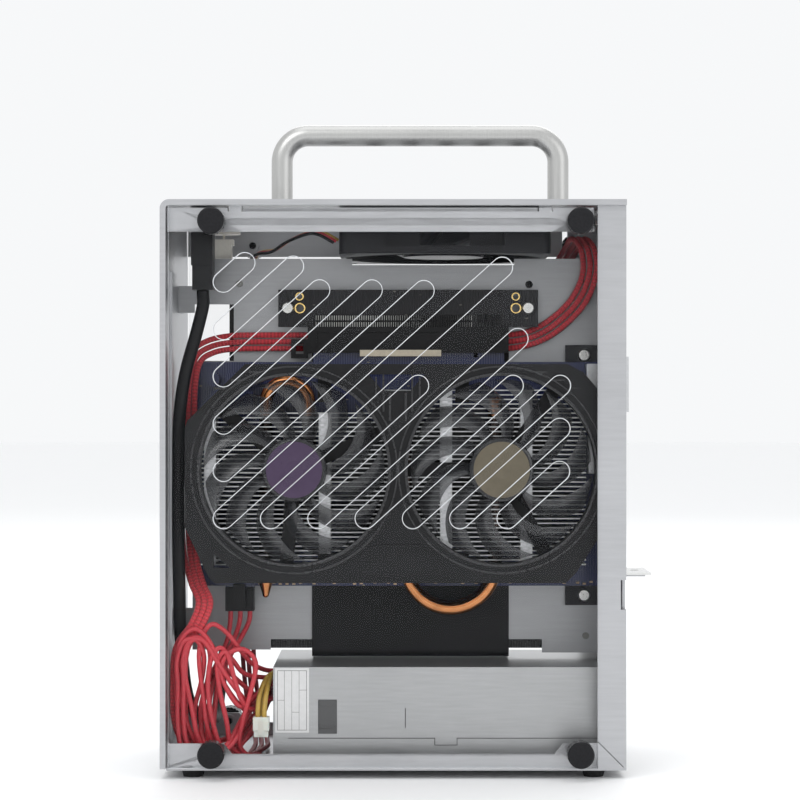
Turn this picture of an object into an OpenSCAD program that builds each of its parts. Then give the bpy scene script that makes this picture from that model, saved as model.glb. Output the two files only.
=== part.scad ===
// Small sandwich-layout computer case with its parts inside, seen from the graphics-card side.
// X runs from the front to the rear, Y from the card side to the board side, Z up.

/* [Case] */
// Length of the case from front to rear
case_w = 200; // [199:0.5:212]
// Depth of the case over its two clear sides
case_d = 120; // [119:0.5:130]
// Height of the case without feet and handle
case_h = 245; // [244:0.5:256]
// Thickness of the front and top sheet
shell_t = 2.5; // [2.2:0.1:2.8]
// Outer radius of the fold between front and top
shell_bend = 4; // [3:0.5:7]
// Thickness of the folded inner sheets
sheet_t = 1.2; // [1:0.1:1.4]
// Height of the low side flange along the floor
floor_flange_h = 7.1; // [6:0.1:9]
// Width of the rear side flange
rear_flange_w = 12.2; // [11:0.1:13]
// Height of the near rail under the top
near_rail_h = 10.3; // [9.5:0.1:12]
// Height of the far rail under the top
far_rail_h = 15.1; // [14.5:0.1:16]

/* [Top vents] */
// Width of a vent slot in the top
vent_w = 6.5; // [4:0.5:8]
// Length of a vent slot in the top
vent_l = 80; // [60:1:84]
// Distance between vent slots in the top
vent_pitch = 16.6; // [14:0.1:17]
// Number of vent slots in the top
vent_count = 8; // [4:1:8]

/* [Side panels] */
// Thickness of a clear side panel
panel_t = 3; // [2.5:0.1:3.5]
// Length of a clear side panel
panel_w = 184; // [180:0.5:184]
// Height of a clear side panel
panel_h = 241.2; // [239:0.2:241.2]
// Width of a slanted air slot
slot_w = 8.6; // [6:0.2:10]
// Slope of the air slots in degrees
slot_angle = 42; // [38:1:44]
// Distance between air slots along the row and the column
slot_pitch = 20.25; // [19.5:0.05:20.4]

/* [Thumbscrews] */
// Diameter of a thumbscrew head
knob_d = 11.4; // [9:0.2:13]
// Length of a thumbscrew head
knob_l = 9.5; // [6:0.5:12]
// Diameter of a thumbscrew thread
knob_thread_d = 3; // [2.5:0.1:3.2]
// Length of a thumbscrew thread
knob_thread_l = 8; // [7.4:0.1:10]

/* [Handle] */
// Diameter of the handle rod
handle_d = 9.5; // [8:0.1:11]
// Distance between the two handle legs
handle_span = 124.2; // [120:0.2:126]
// Height of the handle over the top
handle_h = 37.7; // [34:0.5:50]
// Bend radius of the handle on its centre line
handle_bend = 12; // [9:0.5:16]
// Distance of the handle centre behind the case centre
handle_x = 11.9; // [10:0.1:13]

/* [Feet] */
// Height of a rubber foot
foot_h = 3.5; // [2.5:0.1:6]
// Diameter of a rubber foot
foot_d = 10; // [8:0.5:14]

/* [Top fan] */
// Side of the top fan
fan_size = 92; // [90:0.5:92.5]
// Thickness of the top fan
fan_t = 20; // [15:0.5:20]

/* [Divider tray] */
// Distance of the tray's middle plane from the case centre
tray_y = -7; // [-7.1:0.1:-6.7]

/* [Graphics card] */
// Length of the card's circuit board
card_l = 187; // [184:0.5:188]
// Height of the card's circuit board
card_h = 99.4; // [98:0.1:100]
// Thickness of a circuit board
pcb_t = 1.6; // [1.4:0.1:1.6]
// Distance between the two card fans
card_fan_gap = 89.7; // [88:0.1:90.5]
// Bore of the cover over a card fan
card_fan_bore = 81.3; // [80:0.1:82]
// Diameter of a card fan over its blades
card_fan_d = 78.5; // [74:0.5:79]
// Diameter of a card fan hub
card_hub_d = 28.4; // [26:0.2:30]
// Number of blades on a card fan
card_blades = 11; // [7:1:13]
// Distance between cooling fins
fin_pitch = 2; // [2:0.1:3]
// Thickness of a cooling fin
fin_t = 0.5; // [0.4:0.05:0.6]
// Diameter of a heat pipe
pipe_d = 6; // [5:0.1:6]

/* [Riser] */
// Length of the riser circuit board
riser_l = 115.4; // [114:0.2:118]
// Height of the riser circuit board
riser_h = 16.6; // [15.5:0.1:17]
// Length of the card slot on the riser
slot_body_l = 89; // [87:0.5:90]
// Width of the riser ribbon
ribbon_w = 88; // [80:1:89]
// Thickness of the riser ribbon
ribbon_t = 0.9; // [0.7:0.1:1]

/* [Main board] */
// Side of the square main board
board_size = 170; // [169:0.5:170]
// Height of the standoffs under the main board
standoff_h = 6; // [5.8:0.1:6.5]
// Height of the processor cooler over the main board
cooler_h = 44; // [40:0.5:46]

/* [Power supply] */
// Length of the power supply
psu_l = 151; // [149:0.5:152]
// Width of the power supply
psu_w = 81.5; // [80:0.5:83]
// Height of the power supply
psu_h = 40.5; // [40:0.1:41]

/* [Button and port] */
// Diameter of the power button
button_d = 10; // [8:0.2:11]
// Travel of the power button
button_travel = 0.8; // [0.6:0.1:1]

/* [Hidden] */
$fn = 48;

// Planes of the case
front_x = -case_w / 2;
rear_x = case_w / 2;
front_in = front_x + shell_t;
rear_in = rear_x - sheet_t;
top_in = case_h - shell_t;
side_in = case_d / 2 - panel_t;
flange_in = side_in - sheet_t;
wall_y = 40;
wall_in = front_in + sheet_t;
clear = 0.2;
snug = 0.1;

// Feet
foot_x = [front_x + 13.5, rear_x - 13.5];
foot_y = side_in - 9;
foot_pin_d = 4;

// Outer reach, for the origin under the middle of the whole object
tab_reach = 11.2;
mid_x = (front_x + rear_x + tab_reach) / 2;

// Screws
m3_d = 3;
m3_hole = m3_d + clear;
m3_head_d = 5.5;
m3_head_h = 1.8;
m3_thread_hole = m3_d + snug;
blind_depth = 1.8;
m4_d = 4;
rear_screws = [[-14, 205], [-14, 60]];
front_screws = [[3, 204], [3, 60]];
wall_screw = [16, 150];

// Side panels and their thumbscrews
panel_x0 = front_in + 1.1;
panel_z0 = sheet_t;
knob_hole = knob_thread_d + 0.6;
nut_d = 6;
nut_l = 2.2;
nut_bore = knob_thread_d + 0.4;
low_knob_z = 8;
near_knobs = [
    [front_x + 22.4, case_h - 9.7], [rear_x - 20.2, case_h - 9.7],
    [front_x + 22.4, low_knob_z], [rear_x - 20.2, low_knob_z]
];
far_knobs = [
    [front_x + 33.5, case_h - 13.4], [rear_x - 15, case_h - 13.4],
    [front_x + 22.4, low_knob_z], [rear_x - 20.2, low_knob_z]
];
slot_column_x = front_x + 27.3;
slot_row_z = 108.3;
column_lengths = [160.6, 115.4, 85.5, 55.3, 40.2, 12.2];
row_lengths = [85, 115, 85, 85, 57.5, 30];

// Floor flange tabs round the low thumbscrews
tab_h = 11.6;
front_tab_x = front_x + 27.2;
rear_tab_x = rear_x - 27.2;
tab_slope = 3.6;

// Ears of the rails and the rear flange under the top
ear_w = 5.4;
ear_l = 10;
ear_drop = 1;
ear_x = [front_x + 32.2, rear_x - 34.8];
ear_screw_y = side_in - 6;
rail_end_gap = 1.6;
rail_x1 = rear_x - rear_flange_w - rail_end_gap;
rear_lip = 10;
rear_lip_screw = [rear_x - 6, 30];

// Handle
handle_legs = [handle_x - handle_span / 2, handle_x + handle_span / 2];
handle_top = case_h + handle_h - handle_d / 2;
handle_thread_l = 10;
vent_x0 = handle_legs[0] - vent_pitch / 2;

// Top fan
fan_x = 22.4;
fan_z0 = top_in - fan_t;
fan_hole_gap = 82.5 * fan_size / 92;
fan_screw_d = 4;
fan_screw_l = 8;
fan_bore = fan_size - 3.4;
fan_hub_d = 36;

// Tray
tray_y0 = tray_y - sheet_t / 2;
tray_y1 = tray_y + sheet_t / 2;
tray_top = top_in - 20.3;
tray_x0 = front_x + 10;
tray_x1 = rear_x - 3;
tray_foot_z = 46;
tray_mid_z = 52;
tray_left_z = 47.3;

// Power supply
rib_h = 1.3;
psu_x1 = rear_in;
psu_x0 = psu_x1 - psu_l;
psu_y0 = -43.4;
psu_y1 = psu_y0 + psu_w;
psu_z0 = sheet_t + rib_h;
psu_z1 = psu_z0 + psu_h;
psu_mid_z = (psu_z0 + psu_z1) / 2;
psu_fan_y = 17.5;
psu_fan_d = 37;
psu_fan_hub = 20;
inlet_y = -24;

// Fan axles
axle_d = 3;
rotor_bore = axle_d + 0.16;

// Main board
board_x1 = rear_in - 2.7;
board_x0 = board_x1 - board_size;
board_z0 = psu_z1 + 4.4;
board_z1 = board_z0 + board_size;
board_y0 = tray_y1 + standoff_h;
board_y1 = board_y0 + pcb_t;
board_holes = [
    for (x = [board_x1 - 10.16, board_x1 - 165.1])
        for (z = [board_z1 - 6.35, board_z1 - 163.83]) [x, z]
];
pcie_z = board_z0 + 8;
pcie_h = 11;
io_y0 = board_y1 - 2.4;
io_y1 = io_y0 + 44.4;
io_z0 = board_z0 + 10.6;
io_z1 = io_z0 + 158.6;
jack_d = 3.6;
memory_x = [board_x0 + 16, board_x0 + 26];
memory_z0 = board_z0 + 17;
lead_plug = [-68, 14, 70];
power_x = board_x0 + 5.6;
power_z = board_z0 + 60;
cpu_plug_x = 46;
cpu_plug_z = board_z1 - 7;
// Foot, height, length, openings and front edge of each socket block
jack_pitch = 10.8;
io_blocks = [
    [io_z1 - 22.6, 31, 13.6, 2, 80], [io_z1 - 37.2, 31, 13.6, 2, 80],
    [io_z1 - 56, 14, 17, 1, 82], [io_z1 - 80, 29, 16.4, 3, 76],
    [io_z1 - 103, 17, 17, 1, 82], [io_z1 - 138, 3 * jack_pitch - 0.4, 14, 4, 82]
];

// Processor cooler
cooler_x = 20;
cooler_z = board_z0 + 88;
cooler_base_y = board_y1 + 8;
cooler_fan_t = 15;
cooler_fan_size = 92;
cooler_fan_bore = 88;
cooler_fan_hub = 34;
cooler_fan_y0 = board_y1 + cooler_h - cooler_fan_t;

// Graphics card, hung from its slot with the fingers up
card_x1 = rear_in - 2.8;
card_x0 = card_x1 - card_l;
slot_mouth_z = 180;
card_z1 = slot_mouth_z - 4.1;
card_z0 = card_z1 - card_h;
card_y1 = -15;
card_y0 = card_y1 - pcb_t;
finger_x1 = 49.2;
finger_l = 84.9;
finger_key_x = 36.6;
finger_key_w = 1.9;
finger_z = slot_mouth_z + 7;
card_mid_z = 128.8;
card_fan_x = [1.95 - card_fan_gap / 2, 1.95 + card_fan_gap / 2];
shroud_y0 = -50.5;
shroud_t = 1.5;
shroud_back = -38.6;
shroud_z0 = 80;
shroud_z1 = 174.5;
shroud_x0 = -90;
shroud_x1 = 91.5;
ring_wall = 1.4;
fins_y0 = -38;
fins_y1 = -22;
fins_x0 = -84;
fins_x1 = 84;
fins_z0 = 87;
fin_count = 34;
short_fin_count = 5;
short_fin_x0 = -10;
base_y1 = -18.6;
chip_t = card_y0 - base_y1;
pipe_y = fins_y1 - 3.2;
pipe_gap_y = 7;
pipe_r = 19.5;
pipe_x = 25;
pipe_z = 87.3;
small_pipe_r = 9.5;
small_pipe_x = -46.8;
small_pipe_z = 157.5;
small_pipe_tip_z = 73.4;
strut_t = 1.4;
card_hub_y0 = shroud_y0 + 0.9;
card_blade_t = 8;
bracket_t = 0.9;
bracket_x0 = rear_in - bracket_t;
bracket_z0 = 83.6;
bracket_y = [-54, -12.6];
window_y = [-52, -14];
window_z = [83.5, 190];
plug_x = -67.8;
dvi_z = 165.9;
dvi_y = -22.4;
hdmi_z = 135;
base_screws = [for (x = [-16, 66]) for (z = [104, 146]) [x, z]];
support_holes = [[84.9, 179], [84.9, 72]];
pipe_places = [
    [pipe_x - pipe_r, pipe_y], [pipe_x + pipe_r, pipe_y],
    [pipe_x - pipe_r, pipe_y - pipe_gap_y], [pipe_x + pipe_r, pipe_y - pipe_gap_y],
    [small_pipe_x - small_pipe_r, pipe_y], [small_pipe_x + small_pipe_r, pipe_y]
];

// Riser
riser_x0 = -51.2;
riser_x1 = riser_x0 + riser_l;
riser_z0 = slot_mouth_z + 11.4;
riser_z1 = riser_z0 + riser_h;
slot_x0 = -38;
slot_half = 3.75;
ribbon_x0 = -36.5;
ribbon_y0 = tray_y0 - 0.4 - ribbon_t;
ribbon_low_z = psu_z1 + 1.2;
ribbon_bend = 2.4;
ribbon_far_y = board_y1 + 16;
ribbon_top_z = riser_z0 + 15;
edge_board_t = 1.6;
riser_holes = [riser_x0 + 4.2, riser_x1 - 4.4];
riser_screw_z = riser_z0 + 8.4;

// Button and port
button_x = front_x + 23.6;
button_y = 0;
button_body_h = 9;
usb_x = front_x + 16.8;
usb_y = -36;
usb_z0 = 206.9;
usb_step_z = 217.6;

// Cords: diameters and hand-chosen routes in the case frame
wire_d = 2.2;
strand_d = 2.6;
lead_d = 5.6;
thin_d = 1.4;
exit_x = psu_x0 + 2.9;
strand_route = [
    [exit_x - 0.6, -18, 33.5], [-55, -18.4, 29.4], [-61, -20, 17], [-72, -28, 7.5], [-84, -38, 7],
    [-90, -43.5, 10], [-92.6, -46, 22], [-92.8, -46.6, 36], [-92.4, -46.8, 48], [-90, -47, 55],
    [-85, -46.4, 62], [-82, -43, 71], [-85.6, -37, 79], [-89.2, -31, 91], [-90.4, -28, 108],
    [-90.6, -27.5, 130], [-90.6, -26.5, 152], [-90, -24, 168], [-87.5, -19.5, 178],
    [-82, -13.5, 182.5], [-73, -10.8, 184.6], [-58, -10.4, 185], [-30, -10.4, 185],
    [5, -10.4, 185], [40, -10.4, 185], [56, -10.5, 185.6], [67, -11, 189.4], [77, -12, 197],
    [84, -13, 206], [87.5, -12.5, 217], [86.5, -8.5, 227], [83, 0, 231.5], [81, 12, 228],
    [75, 24, 219], [64, 31, 213.6], [52, 30, 211], [46.5, 25.4, 210.4], [46, 21.8, 210.4]
];
strand_shift = [
    [0, 0, 3], [0, 0, 3], [0, 0, 3], [0, 0, 3], [0, 0, 3],
    [-2, 0, 2], [-2.6, 0, 0], [-2.6, 0, 0], [-2.6, 0, 0], [-2.6, 0, 0],
    [-2.6, 0, 0], [-2.6, 0, 0], [-2.6, 0, 0], [-2.6, 0, 0], [-2.8, 0, 0],
    [-2.8, 0, 0], [-2.8, 0, 0.4], [-2.6, 0, 1], [-2, 0, 2],
    [-1.2, 0, 2.7], [0, 0, 3], [0, 0, 3], [0, 0, 3],
    [0, 0, 3], [0, 0, 3], [0, 0, 3], [-1.2, 0, 2.8], [-2, 0, 2.2],
    [-2.7, 0, 1.4], [-3, 0, 0], [-3, 0, 0], [-3, 0, 0], [-3, 0, 0],
    [-3, 0, 0], [-3, 0, 0], [-3.6, 0, 0], [-4.2, 0, 0], [-4.2, 0, 0]
];
lead_route = [
    [usb_x, usb_y, usb_z0 - 0.1], [usb_x, usb_y, 204], [usb_x, usb_y, 200], [-86, -37.4, 188], [-90.6, -40.6, 170],
    [-93, -43.2, 150], [-93.3, -44, 124], [-93.3, -43.6, 98], [-93.2, -41, 80],
    [-93, -37.6, 60], [-92, -35, 42], [-90, -31, 28], [-86, -24, 19], [-83, -12, 16],
    [-81, 0, 15], [-80.5, 14, 17], [-80, 24, 25], [-79, 30, 38], [-75, 31, 54],
    [-69, 27, 68], [-68, 20.6, 70], [-68, 14.1, 70]
];
// Slack loops in front of the power supply, each ending in the wide plug
loop_start = [exit_x - 0.6, -31.6, 34.8];
left_loop = [
    [0, 0, 0], [-5, -1, -2], [-13, -8, -12], [-20, -16, -25], [-30, -18.6, -30.8], [-38.4, -18.8, -26],
    [-40.6, -18.9, -14], [-40.6, -18.9, 2], [-41, -18.7, 12], [-38, -18, 20.6],
    [-32.4, -17.4, 21], [-29.4, -15.6, 14], [-30.6, -14.6, 3], [-33.6, -13.4, -9],
    [-33, -12.2, -20], [-31, -11.4, -29], [-22, -9, -31], [-12, -2, -31]
];
right_loop = [
    [0, 0, 0], [-5, -2, 0], [-10, -8, -5], [-16, -15, -9], [-21, -17.6, -3], [-24.6, -18, 6],
    [-22, -17.6, 13.6], [-15, -17, 16], [-9.6, -16.4, 10], [-12, -16, -3],
    [-15, -15.6, -14], [-17, -14, -25], [-14, -9, -30.6], [-13, -3, -31]
];
loop_tail = [
    [-59.6, -8, 3.6], [-60, 10, 4], [-62, 26, 8], [-65.5, 36, 20], [-68, 41, 44],
    [-68.4, 41, 78], [-68.4, 37, 106], [-68.4, 29.6, 121], [-68.4, 21.5, 124]
];
loop_shift = [[0, 0, 0], [0, 0.6, 0.4], [-2.6, -0.6, -0.6]];
tail_shift = [[0, 0, 0], [-2.6, 0, 0.4], [2.6, 0, 0.2]];
plug_route = [
    [plug_x, -23.8, card_z0 - 7.2], [plug_x, -23.9, 62], [-70, -29, 54], [-74, -37, 46],
    [-78, -43, 37], [-80, -44, 26], [-80.6, -44.4, 14], [-78, -44.4, 5.6], [-71, -42, 4.4],
    [-64, -36, 12], [-56, -29.6, 26], [exit_x - 0.5, -28, 30.6]
];
plug_shift = [
    [4.2, 0, 0], [4.2, 0, 0], [3.2, 0, 1], [2.8, 0, 1.4], [2.6, 0, 1],
    [2.6, 0, 0], [2.6, 0, 0], [0, 2.4, 0], [0, 2.4, 0],
    [0, 2.4, 0], [0, 2.6, 0], [0, 2.6, 0]
];
supply_route = [
    [exit_x - 0.5, -31, 38.6], [-53.4, -32.6, 39], [-56, -38, 36.5], [-58, -44.5, 31],
    [-58.6, -47.4, 25], [-58.6, -47.5, 21.8]
];
supply_shift = [[0, 0, 0], [2.8, 0, 0], [1.4, 2.7, 0]];
exit_gap = 2.8;
spare_plug = [-57.2, -46.6, 17.6];
spare_plug_size = [7, 6.4, 9];
fan_route = [
    [-25, -40, 228], [-34, -40.6, 232], [-45, -34, 229], [-53, -22, 225], [-60, -10, 224.6],
    [-63, 2, 222], [-60, 10, 216], [-50, 12, 212], [-40, 9, 210]
];

// Places and shapes

module placed() {
    translate([-mid_x, 0, foot_h]) children();
}

// Box between two values on each axis
module span(x, y, z) {
    translate([x[0], y[0], z[0]]) cube([x[1] - x[0], y[1] - y[0], z[1] - z[0]]);
}

// Extrudes a shape drawn in the X-Z plane from y[0] to y[1]
module side_plate(y) {
    translate([0, y[1], 0]) rotate([90, 0, 0]) linear_extrude(y[1] - y[0]) children();
}

module rod_x(x, y, z, d) {
    translate([x[0], y, z]) rotate([0, 90, 0]) cylinder(h = x[1] - x[0], d = d);
}

module rod_y(x, y, z, d) {
    translate([x, y[1], z]) rotate([90, 0, 0]) cylinder(h = y[1] - y[0], d = d);
}

module rod_z(x, y, z, d) {
    translate([x, y, z[0]]) cylinder(h = z[1] - z[0], d = d);
}

// Flat slot with round ends between two points of a plane
module stadium(start, angle, length, width) {
    translate(start) rotate(angle) {
        circle(d = width);
        translate([length, 0]) circle(d = width);
        translate([0, -width / 2]) square([length, width]);
    }
}

// Screw with a pan head; the thread points along +Z and the head lies below z = 0
module pan_screw(length, d = m3_d) {
    cylinder(h = length, d = d);
    translate([0, 0, -m3_head_h]) difference() {
        cylinder(h = m3_head_h, d1 = m3_head_d - 1, d2 = m3_head_d);
        cross_recess();
    }
}

module cross_recess() {
    for (a = [0, 90]) rotate(a) translate([-1.2, -0.3, -1]) cube([2.4, 0.6, 1.8]);
}

// Points on a smooth curve through hand-chosen points
function curve_point(a, b, c, d, t) =
    0.5 * (2 * b + (c - a) * t + (2 * a - 5 * b + 4 * c - d) * t * t
        + (3 * b - a - 3 * c + d) * t * t * t);
function smooth(p, steps) = [
    for (i = [0 : len(p) - 2]) for (k = [0 : steps - 1])
        curve_point(p[max(i - 1, 0)], p[i], p[i + 1], p[min(i + 2, len(p) - 1)], k / steps),
    p[len(p) - 1]
];
function unit(v) = v / norm(v);
function heading(p, i) = unit(p[min(i + 1, len(p) - 1)] - p[max(i - 1, 0)]);
function seed(t) = unit(cross(t, abs(t[2]) < 0.8 ? [0, 0, 1] : [1, 0, 0]));
function across(u, t) = unit(u - (u * t) * t);
function sides_of(p) = [
    for (i = 0, u = seed(heading(p, 0)); i < len(p); i = i + 1, u = across(u, heading(p, i))) u
];

// Route with one offset at its start that turns into another over three points
function fanned(p, from, to) = [
    for (i = [0 : len(p) - 1])
        let (w = min(i / 3, 1)) p[i] + (1 - w) * from + w * to
];

// Round tube swept along a curve through the route's points
module cord(route, d, steps = 3, sides = 8) {
    p = smooth(route, steps);
    u = sides_of(p);
    n = len(p);
    points = [
        for (i = [0 : n - 1]) for (k = [0 : sides - 1])
            let (t = heading(p, i), a = 360 * k / sides)
                p[i] + d / 2 * (cos(a) * u[i] + sin(a) * cross(t, u[i]))
    ];
    walls = [
        for (i = [0 : n - 2]) for (k = [0 : sides - 1])
            let (a = i * sides + k, b = i * sides + (k + 1) % sides)
                each [[a, a + sides, b], [b, a + sides, b + sides]]
    ];
    first = [for (k = [0 : sides - 1]) k];
    last = [for (k = [sides - 1 : -1 : 0]) (n - 1) * sides + k];
    polyhedron(points, concat(walls, [first, last]));
}

// One curved fan blade between two radii, as a thin lofted sheet
module blade(r0, r1, chord, depth, sweep, t) {
    nr = 5;
    nc = 3;
    row = nc + 1;
    sheet = (nr + 1) * row;
    points = [
        for (s = [-1, 1]) for (i = [0 : nr]) for (j = [0 : nc])
            let (u = i / nr, v = j / nc, r = r0 + (r1 - r0) * u,
                a = sweep * pow(u, 1.5) + chord * (v - 0.5) * (1 + 0.25 * u),
                z = depth * (v - 0.5 + 0.12 * sin(180 * v)))
                [r * cos(a), r * sin(a), z + s * t / 2]
    ];
    low = [
        for (i = [0 : nr - 1]) for (j = [0 : nc - 1])
            let (a = i * row + j) each [[a, a + row, a + 1], [a + 1, a + row, a + row + 1]]
    ];
    high = [for (f = low) [f[0] + sheet, f[2] + sheet, f[1] + sheet]];
    rim = concat(
        [for (j = [0 : nc - 1]) j],
        [for (i = [0 : nr - 1]) i * row + nc],
        [for (j = [nc : -1 : 1]) nr * row + j],
        [for (i = [nr : -1 : 1]) i * row]
    );
    edge = [
        for (k = [0 : len(rim) - 1])
            let (a = rim[k], b = rim[(k + 1) % len(rim)])
                each [[a, b, a + sheet], [b, b + sheet, a + sheet]]
    ];
    polyhedron(points, concat(low, high, edge));
}

// Fan rotor with its axis on Z: a cup hub with blades, open to a pin from below
module rotor(hub_d, tip_d, hub_h, blade_h, count, sweep, chord, pin_d) {
    difference() {
        cylinder(h = hub_h, d = hub_d);
        translate([0, 0, -1]) cylinder(h = hub_h - 1, d = pin_d);
    }
    for (i = [0 : count - 1]) rotate(i * 360 / count)
        translate([0, 0, hub_h / 2])
            blade(hub_d / 2 - 0.5, tip_d / 2, chord, blade_h, sweep, 1);
}

// Square fan frame on Z with a round air way, a motor plate and struts at its foot
module fan_frame(size, depth, bore, hub, hole_gap, hole_d, pin_d, pin_l, struts) {
    plate_t = 2;
    difference() {
        linear_extrude(depth) difference() {
            offset(r = 4) square(size - 8, center = true);
            circle(d = bore, $fn = 72);
            for (x = [-1, 1]) for (y = [-1, 1])
                translate([x, y] * hole_gap / 2) circle(d = hole_d);
        }
        for (a = [0 : 90 : 270]) rotate(a)
            translate([size / 2 - 3, -size * 0.28, 3.5])
                cube([4, size * 0.56, depth - 7]);
    }
    cylinder(h = plate_t, d = hub);
    cylinder(h = pin_l, d = pin_d);
    for (i = [0 : struts - 1]) rotate(i * 360 / struts + 30)
        translate([hub / 2 - 1, -1.5, 0]) cube([(bore - hub) / 2 + 1.5, 3, plate_t]);
}

// Folded sheet of the front and the top
module shell() color("#b9bbbe") placed() {
    difference() {
        side_plate([-case_d / 2, case_d / 2]) difference() {
            union() {
                translate([front_x, 1]) square([shell_t, case_h - 1 - shell_bend]);
                translate([front_x + shell_bend, top_in]) square([case_w - shell_bend, shell_t]);
                intersection() {
                    translate([front_x, case_h - shell_bend]) square(shell_bend);
                    translate([front_x + shell_bend, case_h - shell_bend]) difference() {
                        circle(shell_bend);
                        circle(shell_bend - shell_t);
                    }
                }
            }
        }
        for (i = [0 : vent_count - 1])
            translate([vent_x0 + i * vent_pitch, -(vent_l - vent_w) / 2, top_in - 1])
                linear_extrude(shell_t + 2) stadium([0, 0], 90, vent_l - vent_w, vent_w);
        for (x = handle_legs) rod_z(x, 0, [top_in - 1, case_h + 1], m4_d + 0.4);
        for (x = [-1, 1]) for (y = [-1, 1])
            translate([fan_x + x * fan_hole_gap / 2, y * fan_hole_gap / 2, case_h]) fan_screw_seat();
        rod_z(button_x, button_y, [top_in - 1, case_h + 1], button_d + 2 * clear);
        span([usb_x - 2.9, usb_x + 2.9], [usb_y - 6.7, usb_y + 6.7], [top_in - 1, case_h + 1]);
        for (x = ear_x) for (y = [-1, 1])
            rod_z(x, y * ear_screw_y, [top_in - 1, top_in + blind_depth], m3_thread_hole);
        for (y = [-1, 1])
            rod_z(rear_lip_screw[0], y * rear_lip_screw[1], [top_in - 1, top_in + blind_depth],
                m3_thread_hole);
        for (y = [-1, 1])
            rod_x([front_in - blind_depth, front_in + 1], y * wall_screw[0], wall_screw[1],
                m3_thread_hole);
    }
}

module fan_screw_seat() {
    translate([0, 0, -2]) cylinder(h = 2, d1 = fan_screw_d + 0.4, d2 = fan_screw_d + 4.4);
    translate([0, 0, -shell_t - 1]) cylinder(h = shell_t + 1, d = fan_screw_d + 0.4);
    cylinder(h = 1, d = fan_screw_d + 4.4);
}

// Folded sheet of the floor, the rear and the inner front wall
module chassis() color("#c3c5c7") placed() {
    difference() {
        union() {
            span([front_in, rear_x], [-side_in, side_in], [0, sheet_t]);
            span([rear_in, rear_x], [-side_in, side_in], [0, top_in]);
            span([front_in, wall_in], [-wall_y, wall_y], [0, 215]);
            span([rear_x - rear_lip, rear_x], [-wall_y, wall_y], [top_in - sheet_t, top_in]);
            for (y = [[-side_in, -flange_in], [flange_in, side_in]]) {
                side_plate(y) floor_flange();
                side_plate(y) rear_flange();
            }
            side_plate([flange_in, side_in]) rear_gusset();
            for (k = [2, 3]) {
                rod_y(near_knobs[k][0], [-flange_in, -flange_in + nut_l], near_knobs[k][1], nut_d);
                rod_y(far_knobs[k][0], [flange_in - nut_l, flange_in], far_knobs[k][1], nut_d);
            }
            rod_y(far_knobs[1][0], [flange_in - nut_l, flange_in], far_knobs[1][1], nut_d);
            for (y = [-18, 16]) span([psu_x0 + 2, psu_x1 - 6], [y, y + 6], [0.6, psu_z0]);
            span([rear_x - 0.5, rear_x + 9.5], [-42, -24], [bracket_z0 - 1.3, bracket_z0 - 0.1]);
        }
        for (k = [2, 3]) {
            rod_y(near_knobs[k][0], [-side_in - 1, -flange_in + nut_l + 1], near_knobs[k][1], nut_bore);
            rod_y(far_knobs[k][0], [flange_in - nut_l - 1, side_in + 1], far_knobs[k][1], nut_bore);
        }
        rod_y(far_knobs[1][0], [flange_in - nut_l - 1, side_in + 1], far_knobs[1][1], nut_bore);
        span([rear_in - 1, rear_x + 1], window_y, window_z);
        span([rear_in - 1, rear_x + 1], [io_y0, io_y1], [io_z0, io_z1]);
        span([rear_in - 1, rear_x + 1], [psu_y0 + 3, psu_y1 - 3], [psu_z0 + 3, psu_z1 - 3]);
        span([rear_x - 2.4, rear_x + 1], [-side_in - 1, 2 + window_y[0]], [69, bracket_z0 - 1.9]);
        for (p = rear_screws) rod_x([rear_in - 1, rear_x + 1], p[0], p[1], m3_hole);
        for (p = front_screws) rod_x([front_in - 1, wall_in + 1], p[0], p[1], m3_thread_hole);
        for (y = [-1, 1]) {
            rod_x([front_in - 1, wall_in + 1], y * wall_screw[0], wall_screw[1], m3_hole);
            rod_z(rear_lip_screw[0], y * rear_lip_screw[1], [top_in - 3, top_in + 1], m3_hole);
        }
        rod_z(rear_x + 5.5, -33, [bracket_z0 - 3, bracket_z0 + 1], m3_hole);
        for (x = foot_x) for (y = [-1, 1]) rod_z(x, y * foot_y, [-1, sheet_t + 1], foot_pin_d);
    }
}

module floor_flange() {
    edge = front_in + 0.6;
    mitre = rear_flange_w - 0.3;
    difference() {
        polygon([
            [edge, 0], [rear_x, 0], [rear_x - mitre, mitre],
            [rear_tab_x, tab_h], [rear_tab_x - tab_slope, floor_flange_h],
            [front_tab_x + tab_slope, floor_flange_h], [front_tab_x, tab_h], [edge, tab_h]
        ]);
        translate([edge, 0]) difference() {
            translate([-1, -1]) square(3);
            translate([2, 2]) circle(2);
        }
    }
}

module rear_flange() {
    polygon([
        [rear_x, 0.45], [rear_x, top_in], [rear_x - rear_flange_w, top_in],
        [rear_x - rear_flange_w, rear_flange_w + 0.45]
    ]);
}

// Wide corner of the far rear flange, where the far panel is screwed
module rear_gusset() {
    translate([rear_x - 18.3, far_knobs[1][1] - 13.4])
        square([18.3, top_in - far_knobs[1][1] + 13.4]);
}

// Strip under the top that backs the near panel
module top_rail_near() color("#b4b6b9") placed()
    rail(-1, near_rail_h, near_knobs, [0, 1], rail_x1);

// Strip under the top that backs the far panel
module top_rail_far() color("#a9abae") placed()
    rail(1, far_rail_h, far_knobs, [0], rear_x - 20.7);

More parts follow.
